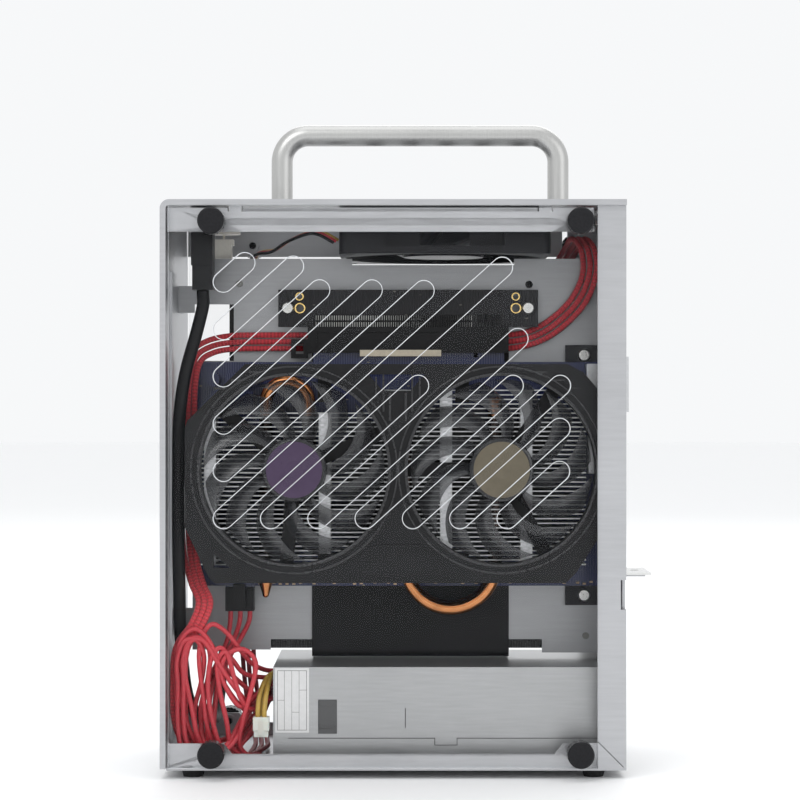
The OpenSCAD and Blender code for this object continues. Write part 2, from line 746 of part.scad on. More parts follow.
module rail(side, h, knobs, used, x1) {
    z1 = top_in - ear_drop;
    y = side < 0 ? [-side_in, -flange_in] : [flange_in, side_in];
    ny = side < 0 ? [-flange_in, -flange_in + nut_l] : [flange_in - nut_l, flange_in];
    difference() {
        union() {
            span([front_in + 0.5, x1], y, [z1 - h, z1]);
            for (x = ear_x) {
                span([x - ear_w / 2, x + ear_w / 2], y, [z1 - 1, top_in]);
                translate([0, side < 0 ? -side_in : side_in - ear_l, 0])
                    span([x - ear_w / 2, x + ear_w / 2], [0, ear_l], [top_in - sheet_t, top_in]);
            }
            for (k = used) rod_y(knobs[k][0], ny, knobs[k][1], nut_d);
        }
        for (k = used) rod_y(knobs[k][0], [y[0] - 3, y[1] + 3], knobs[k][1], nut_bore);
        for (x = ear_x) {
            rod_z(x, side * ear_screw_y, [top_in - 3, top_in + 1], m3_hole);
            for (e = [-1, 1]) translate([x + e * (ear_w / 2 + 0.3) - 0.3, 0, 0])
                span([0, 0.6], [y[0] - 1, y[1] + 1], [z1 - 1.6, z1 + 1]);
        }
    }
}

// Divider between the card side and the board side
module tray() color("#9c9ea1") placed() {
    difference() {
        union() {
            side_plate([tray_y0, tray_y1]) difference() {
                polygon([
                    [tray_x0, tray_left_z], [board_x0 + 18.9, tray_left_z],
                    [board_x0 + 18.9, tray_mid_z], [66.4, tray_mid_z], [66.4, tray_foot_z],
                    [tray_x1, tray_foot_z], [tray_x1, tray_top], [54, tray_top],
                    [54, tray_top - 2.8], [-18.5, tray_top - 2.8], [-18.5, tray_top],
                    [tray_x0, tray_top]
                ]);
                translate([-91, 176.5]) square([19.5, 25.3]);
                for (p = board_holes) translate(p) circle(d = m3_hole);
                for (x = riser_holes) translate([x, riser_screw_z]) circle(d = m3_hole);
                for (p = support_holes) translate(p) circle(d = m3_hole);
                translate([60.6, 210.7]) circle(d = 3.4);
            }
            for (p = rear_screws) {
                span([rear_in - sheet_t, rear_in], [p[0] - 5, tray_y1], [p[1] - 6, p[1] + 6]);
                span([tray_x1 - 1, rear_in], [tray_y0, tray_y1], [p[1] - 6, p[1] + 6]);
            }
            for (p = front_screws) {
                span([wall_in, wall_in + sheet_t], [tray_y0, p[0] + 5], [p[1] - 6, p[1] + 6]);
                span([wall_in, tray_x0 + 1], [tray_y0, tray_y1], [p[1] - 6, p[1] + 6]);
            }
        }
        for (p = rear_screws) rod_x([rear_in - 3, rear_in + 1], p[0], p[1], m3_thread_hole);
        for (p = front_screws) rod_x([wall_in - 1, wall_in + 3], p[0], p[1], m3_hole);
    }
}

// Plate that holds the card's bracket against the rear
module card_support() color("#3c3e41") placed() {
    y0 = tray_y0 - 2.4 - sheet_t;
    fold_z = [92, 124];
    difference() {
        union() {
            side_plate([y0, y0 + sheet_t]) difference() {
                translate([76.6, 67.5]) square([bracket_x0 - 76.6, 116]);
                for (p = support_holes) translate(p) circle(d = m3_hole);
            }
            span([bracket_x0 - sheet_t, bracket_x0], [-34, y0 + sheet_t], fold_z);
        }
        for (z = [100, 108, 116])
            span([bracket_x0 - 2, bracket_x0 + 1], [-30, -20], [z - 1.5, z + 1.5]);
    }
}

// Clear side with slanted air slots in a staircase of lengths
module side_panel_shape(knobs) {
    difference() {
        translate([panel_x0, panel_z0]) square([panel_w, panel_h]);
        for (n = [0 : len(column_lengths) - 1])
            stadium([slot_column_x, slot_row_z + n * slot_pitch], slot_angle, column_lengths[n], slot_w);
        for (n = [0 : len(row_lengths) - 1])
            stadium([slot_column_x + (n + 1) * slot_pitch, slot_row_z], slot_angle,
                row_lengths[n], slot_w);
        for (p = knobs) translate(p) circle(d = knob_hole);
    }
}

module panel_near() color([0.8, 0.85, 0.9, 0.35]) placed()
    side_plate([-case_d / 2, -side_in]) side_panel_shape(near_knobs);

module panel_far() color([0.8, 0.85, 0.9, 0.35]) placed()
    side_plate([side_in, case_d / 2]) side_panel_shape(far_knobs);

// Fluted black head on a threaded shank that points along +Z
module thumbscrew() {
    bevel = 0.6;
    translate([0, 0, -knob_l]) cylinder(h = bevel, d1 = knob_d - 2 * bevel, d2 = knob_d);
    translate([0, 0, bevel - knob_l]) linear_extrude(knob_l - bevel) difference() {
        circle(d = knob_d);
        for (i = [0 : 19]) rotate(18 * i) translate([knob_d / 2 + 0.1, 0]) circle(d = 0.8, $fn = 16);
    }
    cylinder(h = knob_thread_l, d = knob_thread_d);
}

module near_thumbscrew(k) color("#1d1d1e") placed()
    translate([near_knobs[k][0], -case_d / 2, near_knobs[k][1]]) rotate([-90, 0, 0]) thumbscrew();

module far_thumbscrew(k) color("#1d1d1e") placed()
    translate([far_knobs[k][0], case_d / 2, far_knobs[k][1]]) rotate([90, 0, 0]) thumbscrew();

module thumbscrew_near_1() near_thumbscrew(0);
module thumbscrew_near_2() near_thumbscrew(1);
module thumbscrew_near_3() near_thumbscrew(2);
module thumbscrew_near_4() near_thumbscrew(3);
module thumbscrew_far_1() far_thumbscrew(0);
module thumbscrew_far_2() far_thumbscrew(1);
module thumbscrew_far_3() far_thumbscrew(2);
module thumbscrew_far_4() far_thumbscrew(3);

// All pan-head screws inside the case
module m3_screws() color("#c9c9c6") placed() {
    for (x = ear_x) for (y = [-1, 1])
        translate([x, y * ear_screw_y, top_in - sheet_t]) pan_screw(sheet_t + blind_depth - 0.2);
    for (y = [-1, 1])
        translate([rear_lip_screw[0], y * rear_lip_screw[1], top_in - sheet_t])
            pan_screw(sheet_t + blind_depth - 0.2);
    for (y = [-1, 1])
        translate([wall_in, y * wall_screw[0], wall_screw[1]]) rotate([0, -90, 0]) pan_screw(sheet_t + blind_depth - 0.2);
    for (p = rear_screws) translate([rear_x, p[0], p[1]]) rotate([0, -90, 0]) pan_screw(4);
    for (p = front_screws)
        translate([wall_in + sheet_t, p[0], p[1]]) rotate([0, -90, 0]) pan_screw(2 * sheet_t - 0.1);
    for (p = board_holes) translate([p[0], board_y1, p[1]]) rotate([90, 0, 0]) pan_screw(4.5);
    for (x = riser_holes) translate([x, card_y0, riser_screw_z]) rotate([-90, 0, 0]) pan_screw(4.5);
    for (p = support_holes)
        translate([p[0], tray_y0 - 2.4 - sheet_t, p[1]]) rotate([-90, 0, 0]) pan_screw(6);
}

// Hexagonal posts between the tray and the boards, and rings under the card support
module standoffs() color("#c8a24a") placed() {
    for (p = board_holes) translate([p[0], board_y0, p[1]]) rotate([90, 0, 0]) difference() {
        cylinder(h = standoff_h, d = 5.8, $fn = 6);
        translate([0, 0, -1]) cylinder(h = 4.5, d = m3_thread_hole);
    }
    for (p = board_holes) rod_y(p[0], [tray_y0 - 1.2, tray_y1], p[1], m3_d);
    for (x = riser_holes) difference() {
        translate([x, tray_y0, riser_screw_z]) rotate([90, 0, 0])
            cylinder(h = tray_y0 - card_y1, d = 5.8, $fn = 6);
        rod_y(x, [card_y1 - 1, card_y1 + 3.2], riser_screw_z, m3_thread_hole);
    }
    for (x = riser_holes) rod_y(x, [tray_y0, tray_y1 + 0.8], riser_screw_z, m3_d);
    for (p = support_holes) difference() {
        rod_y(p[0], [tray_y0 - 2.4, tray_y0], p[1], 6);
        rod_y(p[0], [tray_y0 - 3.4, tray_y0 + 1], p[1], m3_hole);
    }
}

// Bent rod
module handle() color("#c9cac8") placed() {
    z_bend = handle_top - handle_bend;
    difference() {
        for (x = handle_legs) rod_z(x, 0, [case_h, z_bend], handle_d);
        for (x = handle_legs) rod_z(x, 0, [case_h - 1, case_h + handle_thread_l], m4_d + snug);
    }
    for (k = [0, 1])
        translate([handle_legs[k] + (k == 0 ? 1 : -1) * handle_bend, 0, z_bend])
            rotate([90, 0, 0]) rotate([0, 0, k == 0 ? 90 : 0])
                rotate_extrude(angle = 90) translate([handle_bend, 0]) circle(d = handle_d);
    rod_x([handle_legs[0] + handle_bend, handle_legs[1] - handle_bend], 0, handle_top, handle_d);
}

module handle_screws() color("#8f9093") placed() {
    for (x = handle_legs) {
        rod_z(x, 0, [top_in, case_h + handle_thread_l - 1], m4_d);
        translate([x, 0, top_in - 2.2]) difference() {
            cylinder(h = 2.2, d = 7.5);
            translate([0, 0, -1]) cylinder(h = 2.4, d = 2.8, $fn = 6);
        }
    }
}

module feet() color("#161616") placed() {
    for (x = foot_x) for (y = [-1, 1]) translate([x, y * foot_y, 0]) {
        translate([0, 0, -foot_h]) cylinder(h = foot_h - 0.6, d1 = foot_d - 1.6, d2 = foot_d);
        translate([0, 0, -0.6]) cylinder(h = 0.6, d = foot_d);
        cylinder(h = sheet_t, d = foot_pin_d);
        translate([0, 0, sheet_t]) cylinder(h = 1.4, d1 = foot_pin_d + 1.2, d2 = foot_pin_d - 1);
    }
}

// Push button in the top, guided in the body below it
module power_button() color("#2a2b2d") placed() translate([button_x, button_y, 0]) {
    rod_z(0, 0, [top_in - 1, case_h - 0.2], button_d);
    rod_z(0, 0, [top_in - 1, top_in - 0.1], button_d + 1.4);
    rod_z(0, 0, [top_in - 6, top_in - 1], 4);
}

module button_body() color("#ece7dc") placed() translate([button_x, button_y, 0]) {
    low = top_in - button_body_h;
    difference() {
        rod_z(0, 0, [low, top_in], button_d + 5);
        rod_z(0, 0, [top_in - 1.2 - button_travel, top_in + 1], button_d + 2.4);
        rod_z(0, 0, [low + 1, top_in + 1], 4.6);
    }
    for (y = [-2, 2]) span([-0.4, 0.4], [y - 0.3, y + 0.3], [low - 2.4, low]);
    span([-4.5, 4.5], [-4, 4], [low - 5, low - 2.4]);
}

// White plug under the button's pins
module button_plug() color("#ece7dc") placed() translate([button_x, button_y, 0]) {
    low = top_in - button_body_h - 5;
    difference() {
        span([-4.5, 3.6], [-4, 4], [low - 6, low]);
        for (y = [-2, 2]) rod_z(0, y, [low - 7, low - 3], 1.6);
    }
}

// Panel port with its moulded body under the top
module usb_port() color("#1b1b1c") placed() translate([usb_x, usb_y, 0]) {
    difference() {
        union() {
            span([-4.65, 4.65], [-8, 8], [usb_step_z, top_in]);
            span([-4.2, 4.65], [-7.2, 7.2], [usb_z0, usb_step_z]);
            span([-2.7, 2.7], [-6.5, 6.5], [top_in, case_h - 0.3]);
        }
        span([-2.25, 2.25], [-6.05, 6.05], [case_h - 12, case_h + 1]);
    }
    span([-1.9, -0.2], [-5.2, 5.2], [case_h - 12.5, case_h - 1.5]);
}

// Circuit board of the graphics card with its edge fingers
module card_board() color("#1b2350") placed() {
    difference() {
        side_plate([card_y0, card_y1]) {
            translate([card_x0, card_z0]) square([card_l, card_h]);
            difference() {
                translate([finger_x1 - finger_l, card_z1 - 1]) square([finger_l, finger_z - card_z1 + 1]);
                translate([finger_key_x - finger_key_w / 2, slot_mouth_z - 2]) square([finger_key_w, 12]);
            }
        }
        for (p = base_screws) rod_y(p[0], [card_y0 - 1, card_y1 + 1], p[1], m3_hole);
    }
    span([pipe_x - 20, pipe_x + 20], [base_y1, card_y0], [card_mid_z - 20, card_mid_z + 20]);
    for (z = [94, 112, 130]) for (x = [-24, -12])
        span([x - 5, x + 5], [card_y0 - 1.2, card_y0], [z - 6, z + 6]);
    for (i = [0 : 5]) rod_y(-80 + i * 8.5, [card_y0 - 5, card_y0], 168, 6.3);
    for (i = [0 : 3]) span([-81 + i * 11, -73 + i * 11], [card_y0 - 4, card_y0], [156, 163]);
    span([plug_x - 6.3, plug_x + 6.3], [card_y0 - 8, card_y0], [card_z0, card_z0 + 9]);
}

// Slot cover of the card with its screw tab bent outwards
module card_bracket() color("#c9cacb") placed() {
    difference() {
        union() {
            span([bracket_x0, rear_in], bracket_y, [bracket_z0, 192]);
            difference() {
                span([bracket_x0, rear_x + tab_reach], [-52, -14.6], [bracket_z0, bracket_z0 + bracket_t]);
                rod_z(rear_x + 5.5, -33, [bracket_z0 - 1, bracket_z0 + 2], 3.6);
            }
        }
        span([bracket_x0 - 1, rear_in + 1], [dvi_y - 5, dvi_y + 5], [dvi_z - 12.6, dvi_z + 12.6]);
        for (s = [-1, 1]) rod_x([bracket_x0 - 1, rear_in + 1], dvi_y, dvi_z + s * 16.6, 5);
        span([bracket_x0 - 1, rear_in + 1], [dvi_y - 3.4, dvi_y + 3.4], [hdmi_z - 8, hdmi_z + 8]);
        for (i = [0 : 9]) span([bracket_x0 - 1, rear_in + 1], [-49, -34],
            [94 + i * 9.5, 98 + i * 9.5]);
    }
}

// Display sockets of the card, with the hexagonal posts beside the large one
module card_ports() color("#b9babc") placed() {
    difference() {
        union() {
            span([fins_x1 + 1, bracket_x0], [dvi_y - 5.6, card_y0], [dvi_z - 19, dvi_z + 9]);
            span([bracket_x0 - 4, bracket_x0], [dvi_y - 5.6, card_y0], [dvi_z - 19, dvi_z + 19]);
            span([bracket_x0 - 1, rear_x + 3.6], [dvi_y - 4.6, dvi_y + 4.6],
                [dvi_z - 12.2, dvi_z + 12.2]);
        }
        span([rear_x - 4, rear_x + 5], [dvi_y - 4, dvi_y + 4], [dvi_z - 11.6, dvi_z + 11.6]);
    }
    for (s = [-1, 1]) translate([bracket_x0, dvi_y, dvi_z + s * 16.6]) rotate([0, 90, 0])
        difference() {
            cylinder(h = rear_x + 0.9 - bracket_x0, d = 4.8, $fn = 6);
            translate([0, 0, 1]) cylinder(h = 6, d = 2.4);
        }
    difference() {
        union() {
            span([fins_x1 + 2, bracket_x0], [dvi_y - 3.6, card_y0], [hdmi_z - 8.4, hdmi_z + 8.4]);
            span([bracket_x0 - 1, rear_x + 0.4], [dvi_y - 3, dvi_y + 3], [hdmi_z - 7.6, hdmi_z + 7.6]);
        }
        span([90, rear_x + 1], [dvi_y - 2.4, dvi_y + 2.4], [hdmi_z - 7, hdmi_z + 7]);
    }
}

// Metal block between the graphics chip and the fins
module card_base() color("#b87a4c") placed() {
    difference() {
        span([-20, 70], [fins_y1, base_y1], [card_mid_z - 28, card_mid_z + 20]);
        for (p = base_screws) rod_y(p[0], [base_y1 - 2.5, base_y1 + 1], p[1], m3_thread_hole);
    }
    for (p = base_screws) {
        rod_y(p[0], [base_y1 - 2.3, card_y1], p[1], m3_d);
        rod_y(p[0], [card_y1, card_y1 + 0.8], p[1], 5);
    }
}

// Stack of thin fins on the heat pipes, tied by rows of lock tabs
module card_fins() color("#8d8f92") placed() {
    tabs = [fins_x0 + 4, fins_x0 + 54, 23, 58];
    difference() {
        union() {
            for (i = [0 : fin_count - 1]) fin(i, fins_x0);
            for (i = [fin_count : fin_count + short_fin_count - 1]) fin(i, short_fin_x0);
            for (x = tabs) {
                top = fins_z0 + fin_pitch * (x > short_fin_x0 ? fin_count + short_fin_count - 1 : fin_count - 1);
                span([x - 2.6, x + 2.6], [fins_y0, fins_y0 + 0.6], [fins_z0, top]);
                span([x - 2.6, x + 2.6], [fins_y1 - 0.6, fins_y1], [fins_z0, top]);
            }
        }
        for (p = pipe_places) rod_z(p[0], p[1], [fins_z0 - 2, small_pipe_z + 20], pipe_d + 0.3);
    }
}

module fin(i, x0) {
    span([x0, fins_x1], [fins_y0, fins_y1], [fins_z0 + i * fin_pitch, fins_z0 + i * fin_pitch + fin_t]);
}

module heat_pipes() color("#c77b4a") placed() {
    for (k = [0, 1]) {
        y = pipe_y - k * pipe_gap_y;
        rod_z(pipe_x - pipe_r, y, [pipe_z, 148 + 6 * k], pipe_d);
        rod_z(pipe_x + pipe_r, y, [pipe_z, 160], pipe_d);
        translate([pipe_x, y, pipe_z]) rotate([-90, 0, 0]) bend(pipe_r, 180);
    }
    tip = 5;
    rod_z(small_pipe_x - small_pipe_r, pipe_y, [small_pipe_tip_z + tip, small_pipe_z], pipe_d);
    translate([small_pipe_x - small_pipe_r, pipe_y, small_pipe_tip_z]) {
        cylinder(h = tip, d1 = 3, d2 = pipe_d);
        sphere(d = 3);
    }
    rod_z(small_pipe_x + small_pipe_r, pipe_y, [96, small_pipe_z], pipe_d);
    translate([small_pipe_x, pipe_y, small_pipe_z]) rotate([90, 0, 0]) bend(small_pipe_r, 180);
}

module bend(r, a) {
    rotate_extrude(angle = a) translate([r, 0]) circle(d = pipe_d, $fn = 24);
}

// Outline of the moulded cover
module shroud_outline() {
    polygon([
        [shroud_x0, 104], [-79.5, 82], [-77, shroud_z0], [74.5, shroud_z0], [79, 84.5],
        [shroud_x1, 104], [shroud_x1, 160], [82, 171], [75, shroud_z1], [-64, shroud_z1],
        [shroud_x0 + 1, 150], [shroud_x0, 147]
    ]);
}

module shroud_windows() {
    polygon([[-77.6, 92.5], [-77.6, 86.6], [-70.6, 86.6]]);
    polygon([[0.4 - 11, 170], [0.4 + 13, 170], [0.4 + 7, 163], [0.4 - 5, 163]]);
}

// Moulded cover over the fins with the two fan openings
module card_shroud() color("#2c2d2f") placed() {
    wall = 1.6;
    side_plate([shroud_y0, shroud_y0 + shroud_t]) difference() {
        shroud_outline();
        for (x = card_fan_x) translate([x, card_mid_z]) circle(d = card_fan_bore, $fn = 90);
        shroud_windows();
    }
    side_plate([shroud_y0 + shroud_t, shroud_back]) difference() {
        shroud_outline();
        offset(delta = -wall) shroud_outline();
        translate([shroud_x0 - 1, 110]) square([4, 30]);
    }
    for (x = card_fan_x) translate([x, 0, card_mid_z]) difference() {
        rod_y(0, [shroud_y0 + shroud_t, shroud_back - 1.8], 0, card_fan_bore + 2 * ring_wall);
        rod_y(0, [shroud_y0, shroud_back + 1], 0, card_fan_bore);
    }
    difference() {
        side_plate([shroud_y0 - 0.8, shroud_y0]) shroud_emboss();
        side_plate([shroud_y0 - 0.8 - 1, shroud_y0 - 0.3]) offset(delta = -1.6) shroud_emboss();
    }
    for (x = [-30, 30]) for (s = [-1, 1])
        span([x - 3, x + 3], [shroud_back, fins_y0], s < 0 ? [shroud_z0, 92] : [158, shroud_z1]);
}

// Raised frame between the fans at the foot of the cover
module shroud_emboss() {
    polygon([[-21, 82.4], [25, 82.4], [17, 92.4], [11.5, 96.6], [-7.5, 96.6], [-13, 92.4]]);
}

// Three-armed plates that carry the card fans behind their hubs
module card_fan_mounts() color("#202123") placed() {
    for (k = [0, 1]) translate([card_fan_x[k], shroud_back - 1.8, card_mid_z]) rotate([90, 0, 0]) {
        turn = k == 0 ? 265 : 180;
        translate([0, 0, -strut_t]) linear_extrude(strut_t) {
            circle(d = card_hub_d - 2);
            for (a = [0, 118, 236]) rotate(turn + a) translate([0, -3])
                square([card_fan_bore / 2 + ring_wall - 0.2, 6]);
        }
        translate([0, 0, -0.5]) cylinder(h = 5.5, d = axle_d);
        rotate(turn) translate([card_fan_bore / 2 - 15.5, 0, -0.5]) cylinder(h = 1.5, d = 5);
    }
}

// Rotor of a card fan, facing the near side
module card_rotor(k) color("#3a3b3e") placed()
    translate([card_fan_x[k], card_hub_y0 + card_blade_t, card_mid_z]) rotate([90, 0, 0])
        rotate(k * 14)
            rotor(card_hub_d, card_fan_d, card_blade_t, card_blade_t - 2, card_blades, 34, 24, rotor_bore);

module card_fan_front() card_rotor(0);
module card_fan_rear() card_rotor(1);

// Power plug pushed up into the card
module card_power_plug() color("#1e1f20") placed() {
    difference() {
        union() {
            span([plug_x - 6.3, plug_x + 6.3], [-26.4, card_y0 - 1], [card_z0 - 10.5, card_z0 - 0.1]);
            span([plug_x - 2.6, plug_x + 2.6], [-29, -26.4], [card_z0 - 9.5, card_z0 + 1.5]);
        }
        for (i = [-1 : 1]) for (j = [0, 1])
            rod_z(plug_x + i * 4.2, -23.8 + j * 4.2, [card_z0 - 11, card_z0 - 7], wire_d + 0.5);
    }
}

// Riser board with gold-ringed holes
module riser_board() color("#17181c") placed()
    side_plate([card_y0, card_y1]) difference() {
        translate([riser_x0, riser_z0]) square([riser_l, riser_h]);
        for (x = riser_holes) translate([x, riser_screw_z]) circle(d = m3_hole);
        for (p = [[riser_x0 + 9.6, 8.4, 3.4], [riser_x0 + 9.4, 13.6, 2.4]])
            translate([p[0], riser_z0 + p[1]]) circle(d = p[2]);
        for (p = [[riser_x1 - 9.8, 8.4, 3.4], [riser_x1 - 9.9, 13.6, 2.4]])
            translate([p[0], riser_z0 + p[1]]) circle(d = p[2]);
    }

// Edge socket of the riser, open downwards for the card
module riser_slot() color("#101114") placed() {
    y = [(card_y0 + card_y1) / 2 - slot_half, (card_y0 + card_y1) / 2 + slot_half];
    difference() {
        span([slot_x0, slot_x0 + slot_body_l], y, [slot_mouth_z, riser_z0]);
        difference() {
            span([finger_x1 - finger_l - 0.3, finger_x1 + 0.3], [card_y0 - clear / 2, card_y1 + clear / 2],
                [slot_mouth_z - 1, finger_z + 0.3]);
            span([finger_key_x - 0.7, finger_key_x + 0.7], [card_y0 - 1, card_y1 + 1],
                [slot_mouth_z, finger_z + 1]);
        }
        for (s = [0, 1]) span([slot_x0 + 4, slot_x0 + slot_body_l - 4],
            [y[s] - 0.6, y[s] + 0.6], [slot_mouth_z + 3, slot_mouth_z + 9]);
    }
    for (i = [0 : 69]) span([-34.9 + i, -34.5 + i], [y[0] + 0.6, card_y0 - 0.05],
        [riser_z0, riser_z0 + 5.4]);
    for (i = [0 : 10]) span([37.4 + i, 37.8 + i], [y[0] + 0.6, card_y0 - 0.05],
        [riser_z0, riser_z0 + 5.4]);
    difference() {
        span([slot_x0 - 7.5, slot_x0], [card_y0 - 1.6, card_y1 + 1.6], [slot_mouth_z - 2.5, slot_mouth_z + 6]);
        span([slot_x0 - 5.5, slot_x0 - 2], [card_y0 - 2.6, card_y1 + 2.6], [slot_mouth_z - 0.5, slot_mouth_z + 4]);
    }
}

// Flat ribbon from the riser, under the main board and up into its slot
module riser_ribbon() color("#0f0f10") placed()
    translate([ribbon_x0, 0, 0]) rotate([90, 0, 90]) linear_extrude(ribbon_w) {
        r = ribbon_bend;
        t = ribbon_t;
        near = ribbon_y0;
        far = ribbon_far_y;
        low = ribbon_low_z;
        translate([near, low + r + t]) square([t, ribbon_top_z - low - r - t]);
        quarter([near + r + t, low + r + t], 180);
        translate([near + r + t, low]) square([far - near - 2 * (r + t), t]);
        quarter([far - r - t, low + r + t], 270);
        translate([far - t, low + r + t]) square([t, pcie_z - edge_board_t / 2 - low - r - t]);
        translate([card_y1, ribbon_top_z - 6]) square([near - card_y1, 6]);
    }

// Quarter of the ribbon's bend round a centre
module quarter(centre, a) {
    translate(centre) rotate(a) intersection() {
        difference() {
            circle(ribbon_bend + ribbon_t);
            circle(ribbon_bend);
        }
        square(ribbon_bend + ribbon_t);
    }
}

// Small board at the ribbon's far end that plugs into the main board
module riser_edge_board() color("#17181c") placed() {
    z = [pcie_z - edge_board_t / 2, pcie_z + edge_board_t / 2];
    span([ribbon_x0 - 1, ribbon_x0 + ribbon_w + 1], [board_y1 + pcie_h, ribbon_far_y + 4], z);
    span([ribbon_x0 + 3, ribbon_x0 + ribbon_w - 1], [board_y1 + 4, board_y1 + pcie_h], z);
}

// Square main board
module main_board() color("#1c2a24") placed()
    side_plate([board_y0, board_y1]) difference() {
        translate([board_x0, board_z0]) square(board_size);
        for (p = board_holes) translate(p) circle(d = m3_hole);
    }

// Sockets and heat spreaders on the main board
module board_sockets() color("#222326") placed() {
    y = board_y1;
    difference() {
        span([ribbon_x0, ribbon_x0 + slot_body_l], [y, y + pcie_h], [pcie_z - 3.75, pcie_z + 3.75]);
        span([ribbon_x0 + 2.7, ribbon_x0 + ribbon_w - 0.7], [y + 3.8, y + pcie_h + 1],
            [pcie_z - edge_board_t / 2 - 0.1, pcie_z + edge_board_t / 2 + 0.1]);
    }
    for (x = memory_x) difference() {
        span([x - 3.3, x + 3.3], [y, y + 8], [memory_z0 - 4, memory_z0 + 137.5]);
        span([x - 0.9, x + 0.9], [y + 3, y + 9], [memory_z0 - 0.3, memory_z0 + 133.8]);
    }
    for (x = memory_x) for (z = [memory_z0 - 4, memory_z0 + 133.9]) difference() {
        span([x - 2.4, x + 2.4], [y + 8, y + 15], [z, z + 3.6]);
        span([x - 0.9, x + 0.9], [y + 7, y + 16], [z - 1, z + 4.6]);
    }
    difference() {
        span([power_x - 4.8, power_x + 4.8], [y, y + 9], [power_z, power_z + 52]);
        span([power_x - 3.8, power_x + 3.8], [y + 2, y + 10], [power_z + 1, power_z + 51]);
    }
    span([cpu_plug_x - 10, cpu_plug_x + 10], [y, y + 9], [cpu_plug_z - 5, cpu_plug_z + 5]);
    span([cooler_x - 20, cooler_x + 20], [y, cooler_base_y], [cooler_z - 20, cooler_z + 20]);
    for (i = [0 : 4]) span([70 - 6, 70], [y, y + 5], [98 + 9 * i, 105 + 9 * i]);
    span([lead_plug[0] - 4, lead_plug[0] + 4], [y, lead_plug[1] - 0.2],
        [lead_plug[2] - 10, lead_plug[2] + 10]);
    for (i = [0 : 3]) rod_y(-26 + 9 * i, [y, y + 8], 208, 6.3);
}

module memory_modules() color("#1d3a2a") placed() {
    for (x = memory_x) {
        difference() {
            span([x - 0.6, x + 0.6], [board_y1 + 3.2, board_y1 + 34], [memory_z0, memory_z0 + 133.35]);
            for (z = [memory_z0 - 1, memory_z0 + 133.35 - 1.5])
                span([x - 1, x + 1], [board_y1 + 17, board_y1 + 20], [z, z + 2.5]);
        }
        for (i = [0 : 7]) span([x + 0.6, x + 1.5], [board_y1 + 15, board_y1 + 27],
            [memory_z0 + 8 + i * 15.5, memory_z0 + 16 + i * 15.5]);
    }
}

// Shells of the rear sockets, each open to the rear
module io_ports() color("#a9abad") placed() {
    for (p = io_blocks) if (p[3] < 4) difference() {
        span([p[4], rear_x + 0.4], [board_y1, board_y1 + p[1]], [p[0], p[0] + p[2]]);
        io_openings(p);
    }
    for (p = io_blocks) if (p[3] == 4) for (k = [0 : 2])
        jack_block(p, board_y1 + jack_pitch * k);
}

module jack_block(p, y) difference() {
    span([p[4], rear_x + 0.4], [y, y + jack_pitch - 0.4], [p[0], p[0] + p[2]]);
    rod_x([rear_x - 9, rear_x + 1], y + jack_pitch / 2 - 0.2, p[0] + p[2] / 2, jack_d);
}

module io_openings(p) {
    out = [rear_x - 9, rear_x + 1];
    base = board_y1;
    if (p[3] == 1) span(out, [base + 2, base + p[1] - 2], [p[0] + 2, p[0] + p[2] - 2]);
    if (p[3] == 2) for (k = [0, 1])
        span(out, [base + 3 + 16 * k, base + 9 + 16 * k], [p[0] + 1, p[0] + p[2] - 1]);
    if (p[3] == 3) {
        span(out, [base + 2, base + 13.6], [p[0] + 2, p[0] + p[2] - 2]);
        for (k = [0, 1]) span(out, [base + 15.6 + 6.6 * k, base + 20.8 + 6.6 * k],
            [p[0] + 1.6, p[0] + p[2] - 1.6]);
    }
}

module io_shield() color("#cfd0d1") placed() {
    edge = 1.2;
    difference() {
        span([rear_in - 0.4, rear_in], [io_y0 - edge, io_y1 + edge], [io_z0 - edge, io_z1 + edge]);
        for (p = io_blocks) span([rear_in - 1, rear_in + 1],
            [board_y1 - clear, board_y1 + p[1] + clear], [p[0] - clear, p[0] + p[2] + clear]);
    }
}

// Small solid-state drive lying on the main board
module drive() color("#22242a") placed() {
    z = board_z0 + 21;
    span([-26, 54], [board_y1 + 3, board_y1 + 3.8], [z, z + 22]);
    for (x = [-20, 2, 22]) span([x, x + 14], [board_y1 + 3.8, board_y1 + 5], [z + 3, z + 19]);
    span([54 - 4, 58], [board_y1, board_y1 + 3], [z + 1, z + 21]);
    rod_y(-24, [board_y1, board_y1 + 3], z + 11, 5);
}

// Straight-finned block of the processor cooler
module cooler_heatsink() color("#9fa1a4") placed() {
    s = cooler_fan_size - 4;
    fins = 26;
    pitch = (s - 1) / (fins - 1);
    difference() {
        union() {
            span([cooler_x - s / 2, cooler_x + s / 2], [cooler_base_y, cooler_base_y + 4],
                [cooler_z - s / 2, cooler_z + s / 2]);
            for (i = [0 : fins - 1])
                span([cooler_x - s / 2 + i * pitch, cooler_x - s / 2 + i * pitch + 1],
                    [cooler_base_y + 3.5, cooler_fan_y0], [cooler_z - s / 2, cooler_z + s / 2]);
        }
        for (x = [-1, 1]) for (z = [-1, 1])
            rod_y(cooler_x + x * 37.5, [cooler_base_y - 1, cooler_fan_y0 + 1], cooler_z + z * 37.5, 7);
    }
    for (x = [-1, 1]) for (z = [-1, 1])
        rod_y(cooler_x + x * 37.5, [board_y1, cooler_base_y + 3], cooler_z + z * 37.5, 6.6);
}

module cooler_fan_frame() color("#222325") placed()
    translate([cooler_x, cooler_fan_y0, cooler_z]) rotate([-90, 0, 0])
        fan_frame(cooler_fan_size, cooler_fan_t, cooler_fan_bore, cooler_fan_hub, 82.5, 4.4, axle_d, 8, 4);

module cooler_fan() color("#2c2d30") placed()
    translate([cooler_x, cooler_fan_y0 + 3.2, cooler_z]) rotate([-90, 0, 0])
        rotor(cooler_fan_hub, cooler_fan_bore - 2.4, cooler_fan_t - 3.6, cooler_fan_t - 6, 7, 22, 40, rotor_bore);

